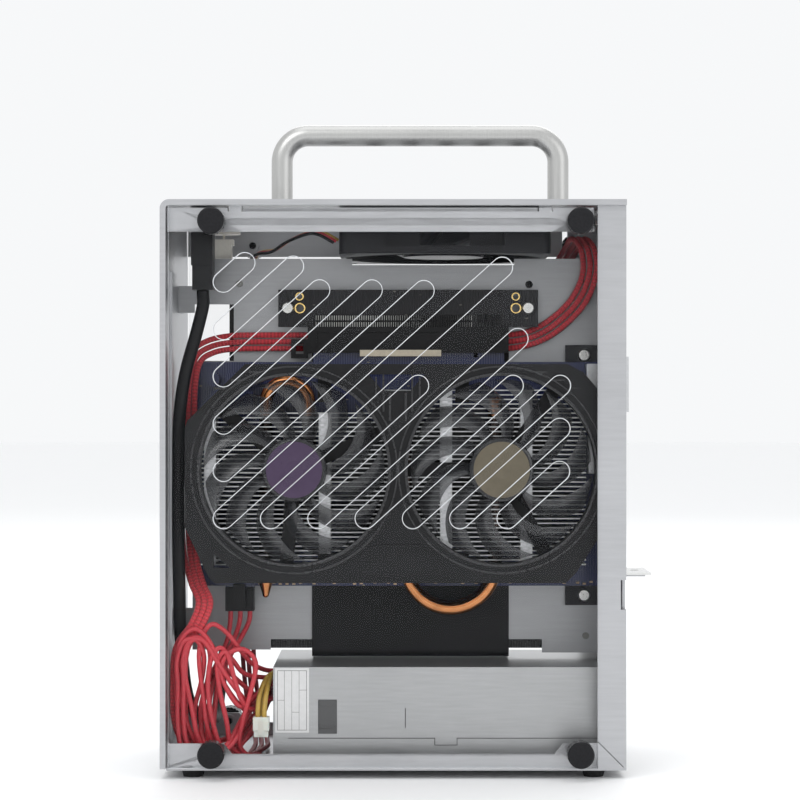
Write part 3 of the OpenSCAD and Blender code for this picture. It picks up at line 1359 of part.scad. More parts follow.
// Wide power plug on the main board
module board_power_plug() color("#1e1f20") placed() {
    y = board_y1;
    span([power_x - 3.6, power_x + 3.6], [y + 2.2, y + 9], [power_z + 1.2, power_z + 50.8]);
    span([power_x - 4.4, power_x + 4.4], [y + 9.2, y + 20], [power_z + 0.6, power_z + 51.4]);
    span([power_x - 3, power_x + 3], [y + 9, y + 9.2], [power_z + 2, power_z + 50]);
    span([cpu_plug_x - 9.6, cpu_plug_x + 9.6], [y + 9, y + 20], [cpu_plug_z - 4.8, cpu_plug_z + 4.8]);
}

module top_fan_frame() color("#1c1d1f") placed()
    translate([fan_x, 0, top_in]) rotate([180, 0, 0])
        fan_frame(fan_size, fan_t, fan_bore, fan_hub_d, fan_hole_gap, 4.2, axle_d, 8, 4);

module top_fan() color("#26272a") placed()
    translate([fan_x, 0, top_in - 3.2]) rotate([180, 0, 0])
        rotor(fan_hub_d, fan_bore - 2.4, fan_t - 3.8, fan_t - 7, 7, 22, 40, rotor_bore);

module fan_screws() color("#2b2b2c") placed() {
    for (x = [-1, 1]) for (y = [-1, 1])
        translate([fan_x + x * fan_hole_gap / 2, y * fan_hole_gap / 2, case_h]) difference() {
            union() {
                translate([0, 0, -2]) cylinder(h = 1.9, d1 = fan_screw_d, d2 = fan_screw_d + 3.8);
                translate([0, 0, -fan_screw_l]) cylinder(h = fan_screw_l - 2, d = fan_screw_d);
            }
            translate([0, 0, -0.2]) cross_recess();
        }
}

// Flat power supply with its end vents, rear fan opening and mains inlet
module psu_case() color("#bcbdbf") placed() {
    difference() {
        span([psu_x0, psu_x1], [psu_y0, psu_y1], [psu_z0, psu_z1]);
        span([psu_x1 - 24, psu_x1 - 1], [psu_y1 - 42, psu_y1 - 1.2], [psu_z0 + 1.2, psu_z1 - 1.2]);
        for (a = [0 : 60 : 300]) for (n = [0, 1])
            rod_x([psu_x1 - 2, psu_x1 + 1], psu_fan_y + (n == 0 ? 7 : 13) * cos(a + 30 * n),
                psu_mid_z + (n == 0 ? 7 : 13) * sin(a + 30 * n), 5.4);
        span([psu_x1 - 16, psu_x1 + 1], [inlet_y - 12, inlet_y + 12],
            [psu_mid_z - 8, psu_mid_z + 8]);
        for (i = [0 : 7]) span([psu_x0 - 1, psu_x0 + 1.2],
            [psu_y0 + 44, psu_y0 + 72], [psu_z0 + 5 + 4 * i, psu_z0 + 7 + 4 * i]);
        side_plate([psu_y0 - 1, psu_y0 + 0.5]) psu_face_marks();
        span([psu_x0 - 1, psu_x0 + 3], [psu_y0 + 8, psu_y0 + 30], [psu_z0 + 24, psu_z0 + 38]);
    }
    for (p = [-4, 0, 4]) span([psu_x1 - 16.5, psu_x1 - 4], [inlet_y + p - 0.8, inlet_y + p + 0.8],
        [psu_mid_z - (p == 0 ? -1 : 4), psu_mid_z + (p == 0 ? 5 : 0)]);
    rod_x([psu_x1 - 12, psu_x1 - 0.5], psu_fan_y, psu_mid_z, axle_d);
}

// Shallow seam, notch and latch window on the visible face of the power supply
module psu_face_marks() {
    seam_z = psu_z0 + 9.5;
    translate([psu_x0 + 6.5, seam_z]) square([63.5, 0.35]);
    translate([psu_x0 + 80, seam_z]) square([psu_l - 84, 0.35]);
    translate([psu_x0 + 70, seam_z - 3]) difference() {
        square([10, 3.35]);
        translate([0.35, 0.35]) square([9.3, 3.1]);
    }
    translate([psu_x0 + 19.4, psu_z0 + 11.5]) square([8.4, 15]);
    translate([psu_x0 + 57.2, psu_z0 + 14.1]) square([0.4, 8.7]);
}

module psu_fan() color("#26272a") placed()
    translate([psu_x1 - 4, psu_fan_y, psu_mid_z]) rotate([0, -90, 0])
        rotor(psu_fan_hub, psu_fan_d, 14, 9, 7, 18, 38, rotor_bore);

// Three sleeved strands from the power supply to the processor plug
module cpu_cable() color("#b5333b") placed()
    for (k = [-1 : 1])
        cord([for (i = [0 : len(strand_route) - 1]) strand_route[i] + k * strand_shift[i]],
            strand_d, 2);

module usb_lead() color("#191919") placed() cord(lead_route, lead_d, 2);

// Red wires of the slack loops and of the card's power plug
module wire_loops() color("#c23a43") placed() {
    for (k = [0 : 2])
        cord(concat(fanned([for (p = k == 1 ? right_loop : left_loop) loop_start + p],
            [0, k * exit_gap, 0], loop_shift[k]),
            [for (p = loop_tail) p + tail_shift[k]]), wire_d, 2);
    for (k = [-1 : 1])
        cord([for (i = [0 : len(plug_route) - 1]) plug_route[i] + k * plug_shift[i]], wire_d, 3);
}

// Yellow wires that end in a loose white plug
module psu_wires() color("#8f7a2e") placed() {
    for (k = [0 : 2])
        cord(fanned(supply_route, [0, k * exit_gap, 0], supply_shift[k]), wire_d, 3);
    translate(spare_plug) cube(spare_plug_size, center = true);
}

// Three thin wires of the top fan
module fan_lead() color("#a03038") placed()
    for (k = [-1 : 1]) cord([for (p = fan_route) p + k * [1, 1, 0.6]], thin_d, 3);

shell();
chassis();
top_rail_near();
top_rail_far();
tray();
card_support();
panel_near();
panel_far();
thumbscrew_near_1();
thumbscrew_near_2();
thumbscrew_near_3();
thumbscrew_near_4();
thumbscrew_far_1();
thumbscrew_far_2();
thumbscrew_far_3();
thumbscrew_far_4();
m3_screws();
standoffs();
handle();
handle_screws();
feet();
power_button();
button_body();
button_plug();
usb_port();
usb_lead();
card_board();
card_bracket();
card_ports();
card_base();
card_fins();
heat_pipes();
card_shroud();
card_fan_mounts();
card_fan_front();
card_fan_rear();
card_power_plug();
riser_board();
riser_slot();
riser_ribbon();
riser_edge_board();
main_board();
board_sockets();
memory_modules();
io_ports();
io_shield();
drive();
cooler_heatsink();
cooler_fan_frame();
cooler_fan();
board_power_plug();
top_fan_frame();
top_fan();
fan_screws();
psu_case();
psu_fan();
cpu_cable();
wire_loops();
psu_wires();
fan_lead();
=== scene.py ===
import math
import random

import bmesh
import bpy
from mathutils import Matrix, Vector


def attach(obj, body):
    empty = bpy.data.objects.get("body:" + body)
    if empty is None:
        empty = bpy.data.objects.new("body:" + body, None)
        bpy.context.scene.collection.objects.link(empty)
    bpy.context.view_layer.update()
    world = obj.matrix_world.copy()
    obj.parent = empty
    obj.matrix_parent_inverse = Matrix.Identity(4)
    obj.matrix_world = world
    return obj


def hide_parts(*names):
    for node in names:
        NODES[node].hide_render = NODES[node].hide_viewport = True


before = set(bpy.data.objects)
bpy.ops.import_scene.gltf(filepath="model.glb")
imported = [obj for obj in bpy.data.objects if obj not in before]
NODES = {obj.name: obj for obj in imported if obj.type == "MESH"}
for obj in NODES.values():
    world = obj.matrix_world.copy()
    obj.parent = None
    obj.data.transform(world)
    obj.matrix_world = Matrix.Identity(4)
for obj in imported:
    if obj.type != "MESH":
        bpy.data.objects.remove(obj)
MM = 0.001
MID_X = 5.6
FOOT_H = 3.5
CAMERA_PLACE = (2.87, -1201, 159)
LENS = 120
rng = random.Random(7)


def at(x, y, z):
    """A point of the case's own frame, in millimetres, as a place in the scene."""
    return Vector(((x - MID_X) * MM, y * MM, (z + FOOT_H) * MM))


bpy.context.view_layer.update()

# Camera and light

camera_data = bpy.data.cameras.new("camera")
camera_data.sensor_width = 36
camera_data.lens = LENS
camera = bpy.data.objects.new("camera", camera_data)
camera.location = at(*CAMERA_PLACE)
camera.rotation_euler = (math.radians(90), 0, 0)
bpy.context.scene.collection.objects.link(camera)
bpy.context.scene.camera = camera


def area_light(name, place, target, size, power, tint=(1, 1, 1)):
    data = bpy.data.lights.new(name, "AREA")
    data.shape = "RECTANGLE"
    data.size, data.size_y = size
    data.energy = power
    data.color = tint
    light = bpy.data.objects.new(name, data)
    light.location = place
    light.rotation_euler = (Vector(target) - Vector(place)).to_track_quat("-Z", "Y").to_euler()
    bpy.context.scene.collection.objects.link(light)


MIDDLE = (0, 0, 0.14)
area_light("key", (-0.9, -1.5, 1.5), MIDDLE, (1.2, 1.2), 10)
area_light("fill", (1.4, -1.3, 0.7), MIDDLE, (1.4, 1.4), 4)
area_light("back", (0.3, 1.6, 1.4), MIDDLE, (1.6, 1.2), 8)
area_light("top", (0, 0, 1.9), MIDDLE, (1.4, 1.4), 5)

world = bpy.data.worlds.new("studio")
world.use_nodes = True
world.node_tree.nodes["Background"].inputs["Color"].default_value = (0.93, 0.94, 0.95, 1)
world.node_tree.nodes["Background"].inputs["Strength"].default_value = 1.0
bpy.context.scene.world = world
bpy.context.scene.view_settings.view_transform = "Standard"

# Materials


def new_shader(name):
    material = bpy.data.materials.new(name)
    material.use_nodes = True
    tree = material.node_tree
    return material, tree, tree.nodes["Principled BSDF"]


def add(tree, kind, **values):
    node = tree.nodes.new(kind)
    for key, value in values.items():
        if key in node.inputs:
            node.inputs[key].default_value = value
        else:
            setattr(node, key, value)
    return node


def place_vector(tree, scale, source="Object"):
    coordinates = tree.nodes.new("ShaderNodeTexCoord")
    mapping = tree.nodes.new("ShaderNodeMapping")
    mapping.inputs["Scale"].default_value = scale
    tree.links.new(coordinates.outputs[source], mapping.inputs["Vector"])
    return mapping.outputs["Vector"]


def noise(tree, scale, detail=3.0, source="Object"):
    node = add(tree, "ShaderNodeTexNoise", Scale=1.0, Detail=detail)
    tree.links.new(place_vector(tree, scale, source), node.inputs["Vector"])
    return node.outputs["Fac"]


def ramp(tree, value, stops):
    node = tree.nodes.new("ShaderNodeValToRGB")
    elements = node.color_ramp.elements
    while len(elements) < len(stops):
        elements.new(0.5)
    for element, (place, color) in zip(elements, stops):
        element.position = place
        element.color = (*color, 1)
    tree.links.new(value, node.inputs["Fac"])
    return node.outputs["Color"]


def stretch(tree, value, low, high, start=0.0):
    """Maps start..1 onto low..high."""
    node = tree.nodes.new("ShaderNodeMapRange")
    node.inputs["From Min"].default_value = start
    node.inputs["To Min"].default_value = low
    node.inputs["To Max"].default_value = high
    tree.links.new(value, node.inputs["Value"])
    return node.outputs["Result"]


def bump(tree, shader, height, depth, strength=0.5):
    node = add(tree, "ShaderNodeBump", Strength=strength, Distance=depth)
    tree.links.new(height, node.inputs["Height"])
    tree.links.new(node.outputs["Normal"], shader.inputs["Normal"])


def facing_y(tree):
    """How far a face looks along Y, from 0 to 1."""
    geometry = tree.nodes.new("ShaderNodeNewGeometry")
    parts = tree.nodes.new("ShaderNodeSeparateXYZ")
    tree.links.new(geometry.outputs["True Normal"], parts.inputs[0])
    size = add(tree, "ShaderNodeMath", operation="ABSOLUTE")
    tree.links.new(parts.outputs["Y"], size.inputs[0])
    return size.outputs[0]


def shade(color, share):
    return tuple(min(1.0, c * share) for c in color)


def surface(name, color, rough, metal=0.0, grain=(400, 400, 400), change=0.12, depth=0.00006,
            coat=0.0):
    """A finish with fine grain in its colour, its gloss and its height."""
    material, tree, shader = new_shader(name)
    shader.inputs["Metallic"].default_value = metal
    shader.inputs["Coat Weight"].default_value = coat
    fine = noise(tree, grain, 5.0)
    broad = noise(tree, (23, 23, 23), 3.0)
    mixed = add(tree, "ShaderNodeMath", operation="MULTIPLY_ADD")
    mixed.inputs[1].default_value = 0.55
    tree.links.new(fine, mixed.inputs[0])
    half = add(tree, "ShaderNodeMath", operation="MULTIPLY")
    half.inputs[1].default_value = 0.45
    tree.links.new(broad, half.inputs[0])
    tree.links.new(half.outputs[0], mixed.inputs[2])
    colors = [(0.3, shade(color, 1 - change)), (0.7, shade(color, 1 + change))]
    tree.links.new(ramp(tree, mixed.outputs[0], colors), shader.inputs["Base Color"])
    tree.links.new(stretch(tree, mixed.outputs[0], max(0.03, rough - 0.09), min(1, rough + 0.09)),
                   shader.inputs["Roughness"])
    bump(tree, shader, fine, depth)
    return material


def painted_shade_fins(name, shaded_face_color, edge_color, rough):
    """Stacked sheets: bright on the narrow edges that face along Y, with painted shade on the wide faces
    between them, a much darker copy of the same metal.
    """
    material, tree, shader = new_shader(name)
    shader.inputs["Metallic"].default_value = 0.7
    grain = noise(tree, (700, 700, 2500), 4.0)
    mix = add(tree, "ShaderNodeMix", data_type="RGBA")
    tree.links.new(facing_y(tree), mix.inputs[0])
    shaded_face_stops = [(0.35, shade(shaded_face_color, 0.7)), (0.65, shade(shaded_face_color, 1.3))]
    edge_stops = [(0.35, shade(edge_color, 0.8)), (0.65, shade(edge_color, 1.15))]
    tree.links.new(ramp(tree, grain, shaded_face_stops), mix.inputs[6])
    tree.links.new(ramp(tree, grain, edge_stops), mix.inputs[7])
    tree.links.new(mix.outputs[2], shader.inputs["Base Color"])
    tree.links.new(stretch(tree, grain, rough - 0.08, rough + 0.08), shader.inputs["Roughness"])
    bump(tree, shader, grain, 0.00005)
    return material


def clear_sheet():
    """Clear acrylic whose cut edges are bright and frosted."""
    material, tree, shader = new_shader("clear_acrylic")
    face = add(tree, "ShaderNodeMath", operation="GREATER_THAN")
    face.inputs[1].default_value = 0.6
    tree.links.new(facing_y(tree), face.inputs[0])
    tree.links.new(ramp(tree, face.outputs[0], [(0.3, (0.93, 0.96, 0.98)), (0.7, (0.16, 0.17, 0.18))]),
                   shader.inputs["Base Color"])
    shader.inputs["IOR"].default_value = 1.3
    shader.inputs["Roughness"].default_value = 0.2
    shader.inputs["Specular IOR Level"].default_value = 0.1
    tree.links.new(stretch(tree, face.outputs[0], 0.9, 0.02), shader.inputs["Alpha"])
    haze = noise(tree, (9, 9, 9), 2.0)
    bump(tree, shader, haze, 0.0004, 0.12)
    return material


def board_surface(name, mask):
    """Circuit board with fine tracks and a scatter of small soldered pads."""
    material, tree, shader = new_shader(name)
    place = tree.nodes.new("ShaderNodeTexCoord")
    flat = tree.nodes.new("ShaderNodeMapping")
    flat.inputs["Rotation"].default_value = (math.radians(90), 0, 0)
    tree.links.new(place.outputs["Object"], flat.inputs["Vector"])
    bricks = add(tree, "ShaderNodeTexBrick", Scale=1.0)
    bricks.inputs["Color1"].default_value = (0, 0, 0, 1)
    bricks.inputs["Color2"].default_value = (1, 1, 1, 1)
    bricks.inputs["Mortar"].default_value = (0, 0, 0, 1)
    bricks.inputs["Mortar Size"].default_value = 0.0005
    bricks.inputs["Brick Width"].default_value = 0.0021
    bricks.inputs["Row Height"].default_value = 0.0015
    tree.links.new(flat.outputs["Vector"], bricks.inputs["Vector"])
    pads = ramp(tree, bricks.outputs["Color"], [(0.975, (0, 0, 0)), (0.985, (1, 1, 1))])
    tracks = add(tree, "ShaderNodeTexWave", Scale=1.0, Distortion=1.5, Detail=2.0)
    tree.links.new(place_vector(tree, (420, 40, 90)), tracks.inputs["Vector"])
    lines = ramp(tree, tracks.outputs["Fac"], [(0.35, shade(mask, 0.85)), (0.6, shade(mask, 1.35))])
    mix = add(tree, "ShaderNodeMix", data_type="RGBA")
    tree.links.new(pads, mix.inputs[0])
    tree.links.new(lines, mix.inputs[6])
    mix.inputs[7].default_value = (0.16, 0.15, 0.13, 1)
    tree.links.new(mix.outputs[2], shader.inputs["Base Color"])
    tree.links.new(stretch(tree, tracks.outputs["Fac"], 0.24, 0.36), shader.inputs["Roughness"])
    shader.inputs["Coat Weight"].default_value = 0.25
    bump(tree, shader, tracks.outputs["Fac"], 0.00005, 0.5)
    return material


METAL = {
    "silver": surface("satin_silver", (0.48, 0.485, 0.50), 0.36, 0.9, (60, 900, 900), 0.07),
    "tray": surface("grey_anodised", (0.36, 0.365, 0.375), 0.42, 0.85, (50, 800, 800), 0.08),
    "steel": surface("polished_steel", (0.72, 0.72, 0.71), 0.2, 1.0, (40, 1400, 1400), 0.08, 0.00003),
    "bar": surface("brushed_bar", (0.50, 0.50, 0.49), 0.34, 1.0, (1500, 1500, 60), 0.1, 0.00003),
    "screw": surface("screw_steel", (0.66, 0.66, 0.64), 0.28, 1.0, (1800, 1800, 1800), 0.15),
    "zinc": surface("dull_zinc", (0.20, 0.20, 0.19), 0.4, 1.0, (900, 900, 2500), 0.1),
    "supply": surface("supply_sheet", (0.43, 0.435, 0.44), 0.38, 0.85, (70, 900, 900), 0.1),
    # The fins' wide faces are painted shade; only their narrow edges keep the bright aluminium colour.
    "fin": painted_shade_fins("fin_aluminium", (0.05, 0.05, 0.055), (0.62, 0.63, 0.64), 0.4),
    "nickel": surface("dark_nickel", (0.10, 0.10, 0.10), 0.4, 0.8, (500, 500, 500), 0.2),
    "copper": surface("bright_copper", (0.60, 0.25, 0.10), 0.2, 1.0, (300, 300, 300), 0.22),
    "port": surface("port_sheet", (0.62, 0.63, 0.64), 0.3, 1.0, (1200, 1200, 1200), 0.12),
}
PLAIN = {
    "black": surface("black_moulding", (0.010, 0.010, 0.011), 0.42, 0.0, (1500, 1500, 1500), 0.35),
    "knob": surface("black_anodised", (0.018, 0.018, 0.02), 0.32, 0.5, (1300, 1300, 1300), 0.3),
    "rubber": surface("foot_rubber", (0.02, 0.02, 0.021), 0.7, 0.0, (900, 900, 900), 0.3),
    "shroud": surface("shroud_plastic", (0.012, 0.012, 0.013), 0.5, 0.0, (1900, 1900, 1900), 0.3),
    "fan": surface("fan_plastic", (0.012, 0.012, 0.014), 0.38, 0.0, (1200, 1200, 1200), 0.3),
    "white": surface("white_nylon", (0.78, 0.75, 0.68), 0.45, 0.0, (900, 900, 900), 0.08),
    "jacket": surface("black_jacket", (0.008, 0.008, 0.009), 0.45, 0.0, (1100, 1100, 1100), 0.3),
    "dark": surface("black_coat", (0.03, 0.03, 0.033), 0.48, 0.0, (1500, 1500, 1500), 0.3),
    "blue_board": board_surface("blue_mask", (0.008, 0.014, 0.065)),
    "black_board": board_surface("black_mask", (0.007, 0.007, 0.009)),
    "green_board": board_surface("green_mask", (0.012, 0.06, 0.03)),
    "red": surface("red_jacket", (0.50, 0.035, 0.05), 0.5, 0.0, (900, 900, 900), 0.25),
    "yellow": surface("yellow_jacket", (0.42, 0.27, 0.05), 0.45, 0.0, (900, 900, 900), 0.2),
    "smoke": surface("smoked_plastic", (0.05, 0.051, 0.055), 0.2, 0.0, (800, 800, 800), 0.25, coat=0.6),
}
PLAIN["smoke"].node_tree.nodes["Principled BSDF"].inputs["Alpha"].default_value = 0.5
for key in ("black", "knob", "rubber", "shroud", "fan", "jacket", "dark", "black_board"):
    PLAIN[key].node_tree.nodes["Principled BSDF"].inputs["Specular IOR Level"].default_value = 0.2


def paint_shade_between(material, low, high, color):
    """Gives the part of a finish between two heights another colour; here it paints shade."""
    tree = material.node_tree
    shader = tree.nodes["Principled BSDF"]
    before = shader.inputs["Base Color"].links[0].from_socket
    place = tree.nodes.new("ShaderNodeTexCoord")
    parts = tree.nodes.new("ShaderNodeSeparateXYZ")
    tree.links.new(place.outputs["Object"], parts.inputs[0])
    middle = add(tree, "ShaderNodeMath", operation="COMPARE")
    middle.inputs[1].default_value = (low + high) / 2
    middle.inputs[2].default_value = (high - low) / 2
    tree.links.new(parts.outputs["Z"], middle.inputs[0])
    mix = add(tree, "ShaderNodeMix", data_type="RGBA")
    tree.links.new(middle.outputs[0], mix.inputs[0])
    tree.links.new(before, mix.inputs[6])
    mix.inputs[7].default_value = (*color, 1)
    tree.links.new(mix.outputs[2], shader.inputs["Base Color"])


# Painted shade: the copper heat pipes turn nearly black where they run among the fins.
PIPES_AMONG_FINS = (0.0895, 0.1555)
paint_shade_between(METAL["copper"], *PIPES_AMONG_FINS, (0.06, 0.045, 0.04))
CLEAR = clear_sheet()

FINISH = {
    METAL["silver"]: ["shell", "chassis", "top_rail_near", "top_rail_far"],
    METAL["tray"]: ["tray"],
    METAL["steel"]: ["card_bracket", "io_shield"],
    METAL["bar"]: ["handle"],
    METAL["screw"]: ["m3_screws", "handle_screws"],
    METAL["zinc"]: ["standoffs"],
    METAL["supply"]: ["psu_case"],
    METAL["fin"]: ["card_fins", "cooler_heatsink"],
    METAL["copper"]: ["heat_pipes"],
    METAL["nickel"]: ["card_base"],
    METAL["port"]: ["card_ports", "io_ports"],
    PLAIN["black"]: ["usb_port", "card_power_plug", "riser_slot", "board_sockets", "board_power_plug",
                     "fan_screws"],
    PLAIN["knob"]: [n for n in NODES if n.startswith("thumbscrew")] + ["power_button"],
    PLAIN["rubber"]: ["feet"],
    PLAIN["shroud"]: ["card_shroud", "card_fan_mounts"],
    PLAIN["fan"]: ["cooler_fan_frame", "cooler_fan", "top_fan_frame", "top_fan", "psu_fan"],
    PLAIN["white"]: ["button_body", "button_plug"],
    PLAIN["jacket"]: ["usb_lead", "riser_ribbon"],
    PLAIN["dark"]: ["card_support"],
    PLAIN["blue_board"]: ["card_board"],
    PLAIN["black_board"]: ["riser_board", "riser_edge_board", "main_board", "drive"],
    PLAIN["green_board"]: ["memory_modules"],
    PLAIN["red"]: ["cpu_cable", "wire_loops", "fan_lead"],
    PLAIN["yellow"]: ["psu_wires"],
    PLAIN["smoke"]: ["card_fan_front", "card_fan_rear"],
    CLEAR: ["panel_near", "panel_far"],
}
for finish_material, names in FINISH.items():
    for n in names:
        NODES[n].data.materials.clear()
        NODES[n].data.materials.append(finish_material)
unfinished = set(NODES) - {n for names in FINISH.values() for n in names}
assert not unfinished, unfinished

# Meshes


class Builder:
    """Collects shapes, given in the case's millimetres, in one mesh."""

    def __init__(self):
        self.mesh = bmesh.new()
        self.uv = self.mesh.loops.layers.uv.new("along")

    def box(self, x, y, z, chamfer=0.0, turn=None):
        size = [max(b - a, 0.01) for a, b in (x, y, z)]
        made = bmesh.ops.create_cube(self.mesh, size=1.0)["verts"]
        centre = at(*[(a + b) / 2 for a, b in (x, y, z)])
        for v in made:
            v.co = Vector([c * s * MM for c, s in zip(v.co, size)])
        if chamfer:
            edges = {e for v in made for e in v.link_edges}
            result = bmesh.ops.bevel(self.mesh, geom=list(edges), offset=chamfer * MM, segments=2,
                                     profile=0.6, affect="EDGES", clamp_overlap=True)
            made = list({v for f in result["faces"] for v in f.verts} | {v for v in made if v.is_valid})
        for v in made:
            v.co = (turn @ v.co if turn else v.co) + centre

    def turned(self, centre, axis, profile, sides=32):
        """A revolved shape: profile is (height along the axis, radius) from one end to the other."""
        side = Vector((0, 0, 1)) if abs(axis.z) < 0.9 else Vector((1, 0, 0))
        u = axis.cross(side).normalized()
        w = axis.cross(u).normalized()
        rings = []
        for height, radius in profile:
            middle = centre + axis * height * MM
            if radius <= 0:
                rings.append([self.mesh.verts.new(middle)])
                continue
            rings.append([self.mesh.verts.new(middle + (u * math.cos(a) + w * math.sin(a)) * radius * MM)
                          for a in (2 * math.pi * k / sides for k in range(sides))])
        for a, b in zip(rings, rings[1:]):
            for k in range(sides):
                corners = [a[k % len(a)], a[(k + 1) % len(a)], b[(k + 1) % len(b)], b[k % len(b)]]
                kept = list(dict.fromkeys(corners))
                if len(kept) > 2:
                    self.mesh.faces.new(kept).smooth = True

    def tube(self, path, radius, sides=14):
        """A round tube along points of the scene, with its length and turn kept as UV."""
        last = len(path) - 1
        heads = [(path[min(i + 1, last)] - path[max(i - 1, 0)]).normalized() for i in range(last + 1)]
        u = heads[0].orthogonal().normalized()
        rings, along, total = [], [], 0.0
        for i, (p, t) in enumerate(zip(path, heads)):
            u = (u - t * u.dot(t)).normalized()
            w = t.cross(u)
            rings.append([self.mesh.verts.new(p + (u * math.cos(a) + w * math.sin(a)) * radius)
                          for a in (2 * math.pi * k / sides for k in range(sides))])
            total += (p - path[i - 1]).length if i else 0.0
            along.append(total / MM)
        for i in range(last):
            for k in range(sides):
                j = (k + 1) % sides
                face = self.mesh.faces.new((rings[i][k], rings[i][j], rings[i + 1][j], rings[i + 1][k]))
                face.smooth = True
                spots = ((along[i], k), (along[i], k + 1), (along[i + 1], k + 1), (along[i + 1], k))
                for loop, (length, turn) in zip(face.loops, spots):
                    loop[self.uv].uv = (length, turn / sides)
        self.mesh.faces.new(list(reversed(rings[0])))
        self.mesh.faces.new(rings[-1])

    def sheet(self, outline, y, thick):
        """A flat plate between y and y + thick with this outline in X and Z."""
        near = [self.mesh.verts.new(at(x, y, z)) for x, z in outline]
        far = [self.mesh.verts.new(at(x, y + thick, z)) for x, z in outline]
        self.mesh.faces.new(near)
        self.mesh.faces.new(list(reversed(far)))
        n = len(outline)
        for k in range(n):
            self.mesh.faces.new((near[k], far[k], far[(k + 1) % n], near[(k + 1) % n]))

    def piece(self, name, material, body="case", replaced=()):
        bmesh.ops.recalc_face_normals(self.mesh, faces=self.mesh.faces)
        data = bpy.data.meshes.new(name)
        self.mesh.to_mesh(data)
        self.mesh.free()
        data.materials.append(material)
        made = bpy.data.objects.new(name, data)
        bpy.context.scene.collection.objects.link(made)
        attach(made, body)
        if replaced:
            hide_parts(*replaced)
        return made


# Cords


def curve_point(a, b, c, d, t):
    return 0.5 * (2 * b + (c - a) * t + (2 * a - 5 * b + 4 * c - d) * t * t
                  + (3 * b - a - 3 * c + d) * t * t * t)


def smooth_path(route, steps):
    points = [Vector(p) for p in route]
    last = len(points) - 1
    path = [curve_point(points[max(i - 1, 0)], points[i], points[i + 1], points[min(i + 2, last)], k / steps)
            for i in range(last) for k in range(steps)]
    return [at(*p) for p in path + [points[last]]]


def shifted(route, shift):
    return [tuple(a + b for a, b in zip(p, shift)) for p in route]


def one_of_three(route, shift, k):
    """A route moved k times its own shift at each point; k is -1, 0 or 1."""
    return [tuple(a + k * b for a, b in zip(p, d)) for p, d in zip(route, shift)]


def braid(name, color, pitch, strands):
    """Woven sleeve: two sets of strands that cross along the cord."""
    material, tree, shader = new_shader(name)
    coordinates = tree.nodes.new("ShaderNodeTexCoord")
    parts = tree.nodes.new("ShaderNodeSeparateXYZ")
    tree.links.new(coordinates.outputs["UV"], parts.inputs[0])
    waves = []
    for way in (1, -1):
        turn = add(tree, "ShaderNodeMath", operation="MULTIPLY")
        turn.inputs[1].default_value = way * 2 * math.pi * strands
        tree.links.new(parts.outputs["Y"], turn.inputs[0])
        both = add(tree, "ShaderNodeMath", operation="MULTIPLY_ADD")
        both.inputs[1].default_value = 2 * math.pi / pitch
        tree.links.new(parts.outputs["X"], both.inputs[0])
        tree.links.new(turn.outputs[0], both.inputs[2])
        wave = add(tree, "ShaderNodeMath", operation="SINE")
        tree.links.new(both.outputs[0], wave.inputs[0])
        waves.append(wave.outputs[0])
    weave = add(tree, "ShaderNodeMath", operation="MULTIPLY")
    tree.links.new(waves[0], weave.inputs[0])
    tree.links.new(waves[1], weave.inputs[1])
    height = stretch(tree, weave.outputs[0], 0.0, 1.0, -1.0)
    # Painted shade in the hollows of the weave and painted light on its crests, taken from the weave's
    # height.
    colors = [(0.15, shade(color, 0.55)), (0.5, color), (0.9, shade(color, 1.25))]
    tree.links.new(ramp(tree, height, colors), shader.inputs["Base Color"])
    shader.inputs["Roughness"].default_value = 0.75
    shader.inputs["Sheen Weight"].default_value = 0.15
    bump(tree, shader, height, 0.00025, 0.8)
    return material


# Routes

EXIT_X = -49.3
EXIT_GAP = 2.8
CARD_PLUG_X = -67.8
STRAND_ROUTE = [
    [EXIT_X - 0.6, -18, 33.5], [-55, -18.4, 29.4], [-61, -20, 17], [-72, -28, 7.5], [-84, -38, 7],
    [-90, -43.5, 10], [-92.6, -46, 22], [-92.8, -46.6, 36], [-92.4, -46.8, 48], [-90, -47, 55],
    [-85, -46.4, 62], [-82, -43, 71], [-85.6, -37, 79], [-89.2, -31, 91], [-90.4, -28, 108],
    [-90.6, -27.5, 130], [-90.6, -26.5, 152], [-90, -24, 168], [-87.5, -19.5, 178],
    [-82, -13.5, 182.5], [-73, -10.8, 184.6], [-58, -10.4, 185], [-30, -10.4, 185],
    [5, -10.4, 185], [40, -10.4, 185], [56, -10.5, 185.6], [67, -11, 189.4], [77, -12, 197],
    [84, -13, 206], [87.5, -12.5, 217], [86.5, -8.5, 227], [83, 0, 231.5], [81, 12, 228],
    [75, 24, 219], [64, 31, 213.6], [52, 30, 211], [46.5, 25.4, 210.4], [46, 21.8, 210.4]
]
STRAND_SHIFT = [
    [0, 0, 3], [0, 0, 3], [0, 0, 3], [0, 0, 3], [0, 0, 3],
    [-2, 0, 2], [-2.6, 0, 0], [-2.6, 0, 0], [-2.6, 0, 0], [-2.6, 0, 0],
    [-2.6, 0, 0], [-2.6, 0, 0], [-2.6, 0, 0], [-2.6, 0, 0], [-2.8, 0, 0],
    [-2.8, 0, 0], [-2.8, 0, 0.4], [-2.6, 0, 1], [-2, 0, 2],
    [-1.2, 0, 2.7], [0, 0, 3], [0, 0, 3], [0, 0, 3],
    [0, 0, 3], [0, 0, 3], [0, 0, 3], [-1.2, 0, 2.8], [-2, 0, 2.2],
    [-2.7, 0, 1.4], [-3, 0, 0], [-3, 0, 0], [-3, 0, 0], [-3, 0, 0],
    [-3, 0, 0], [-3, 0, 0], [-3.6, 0, 0], [-4.2, 0, 0], [-4.2, 0, 0]
]
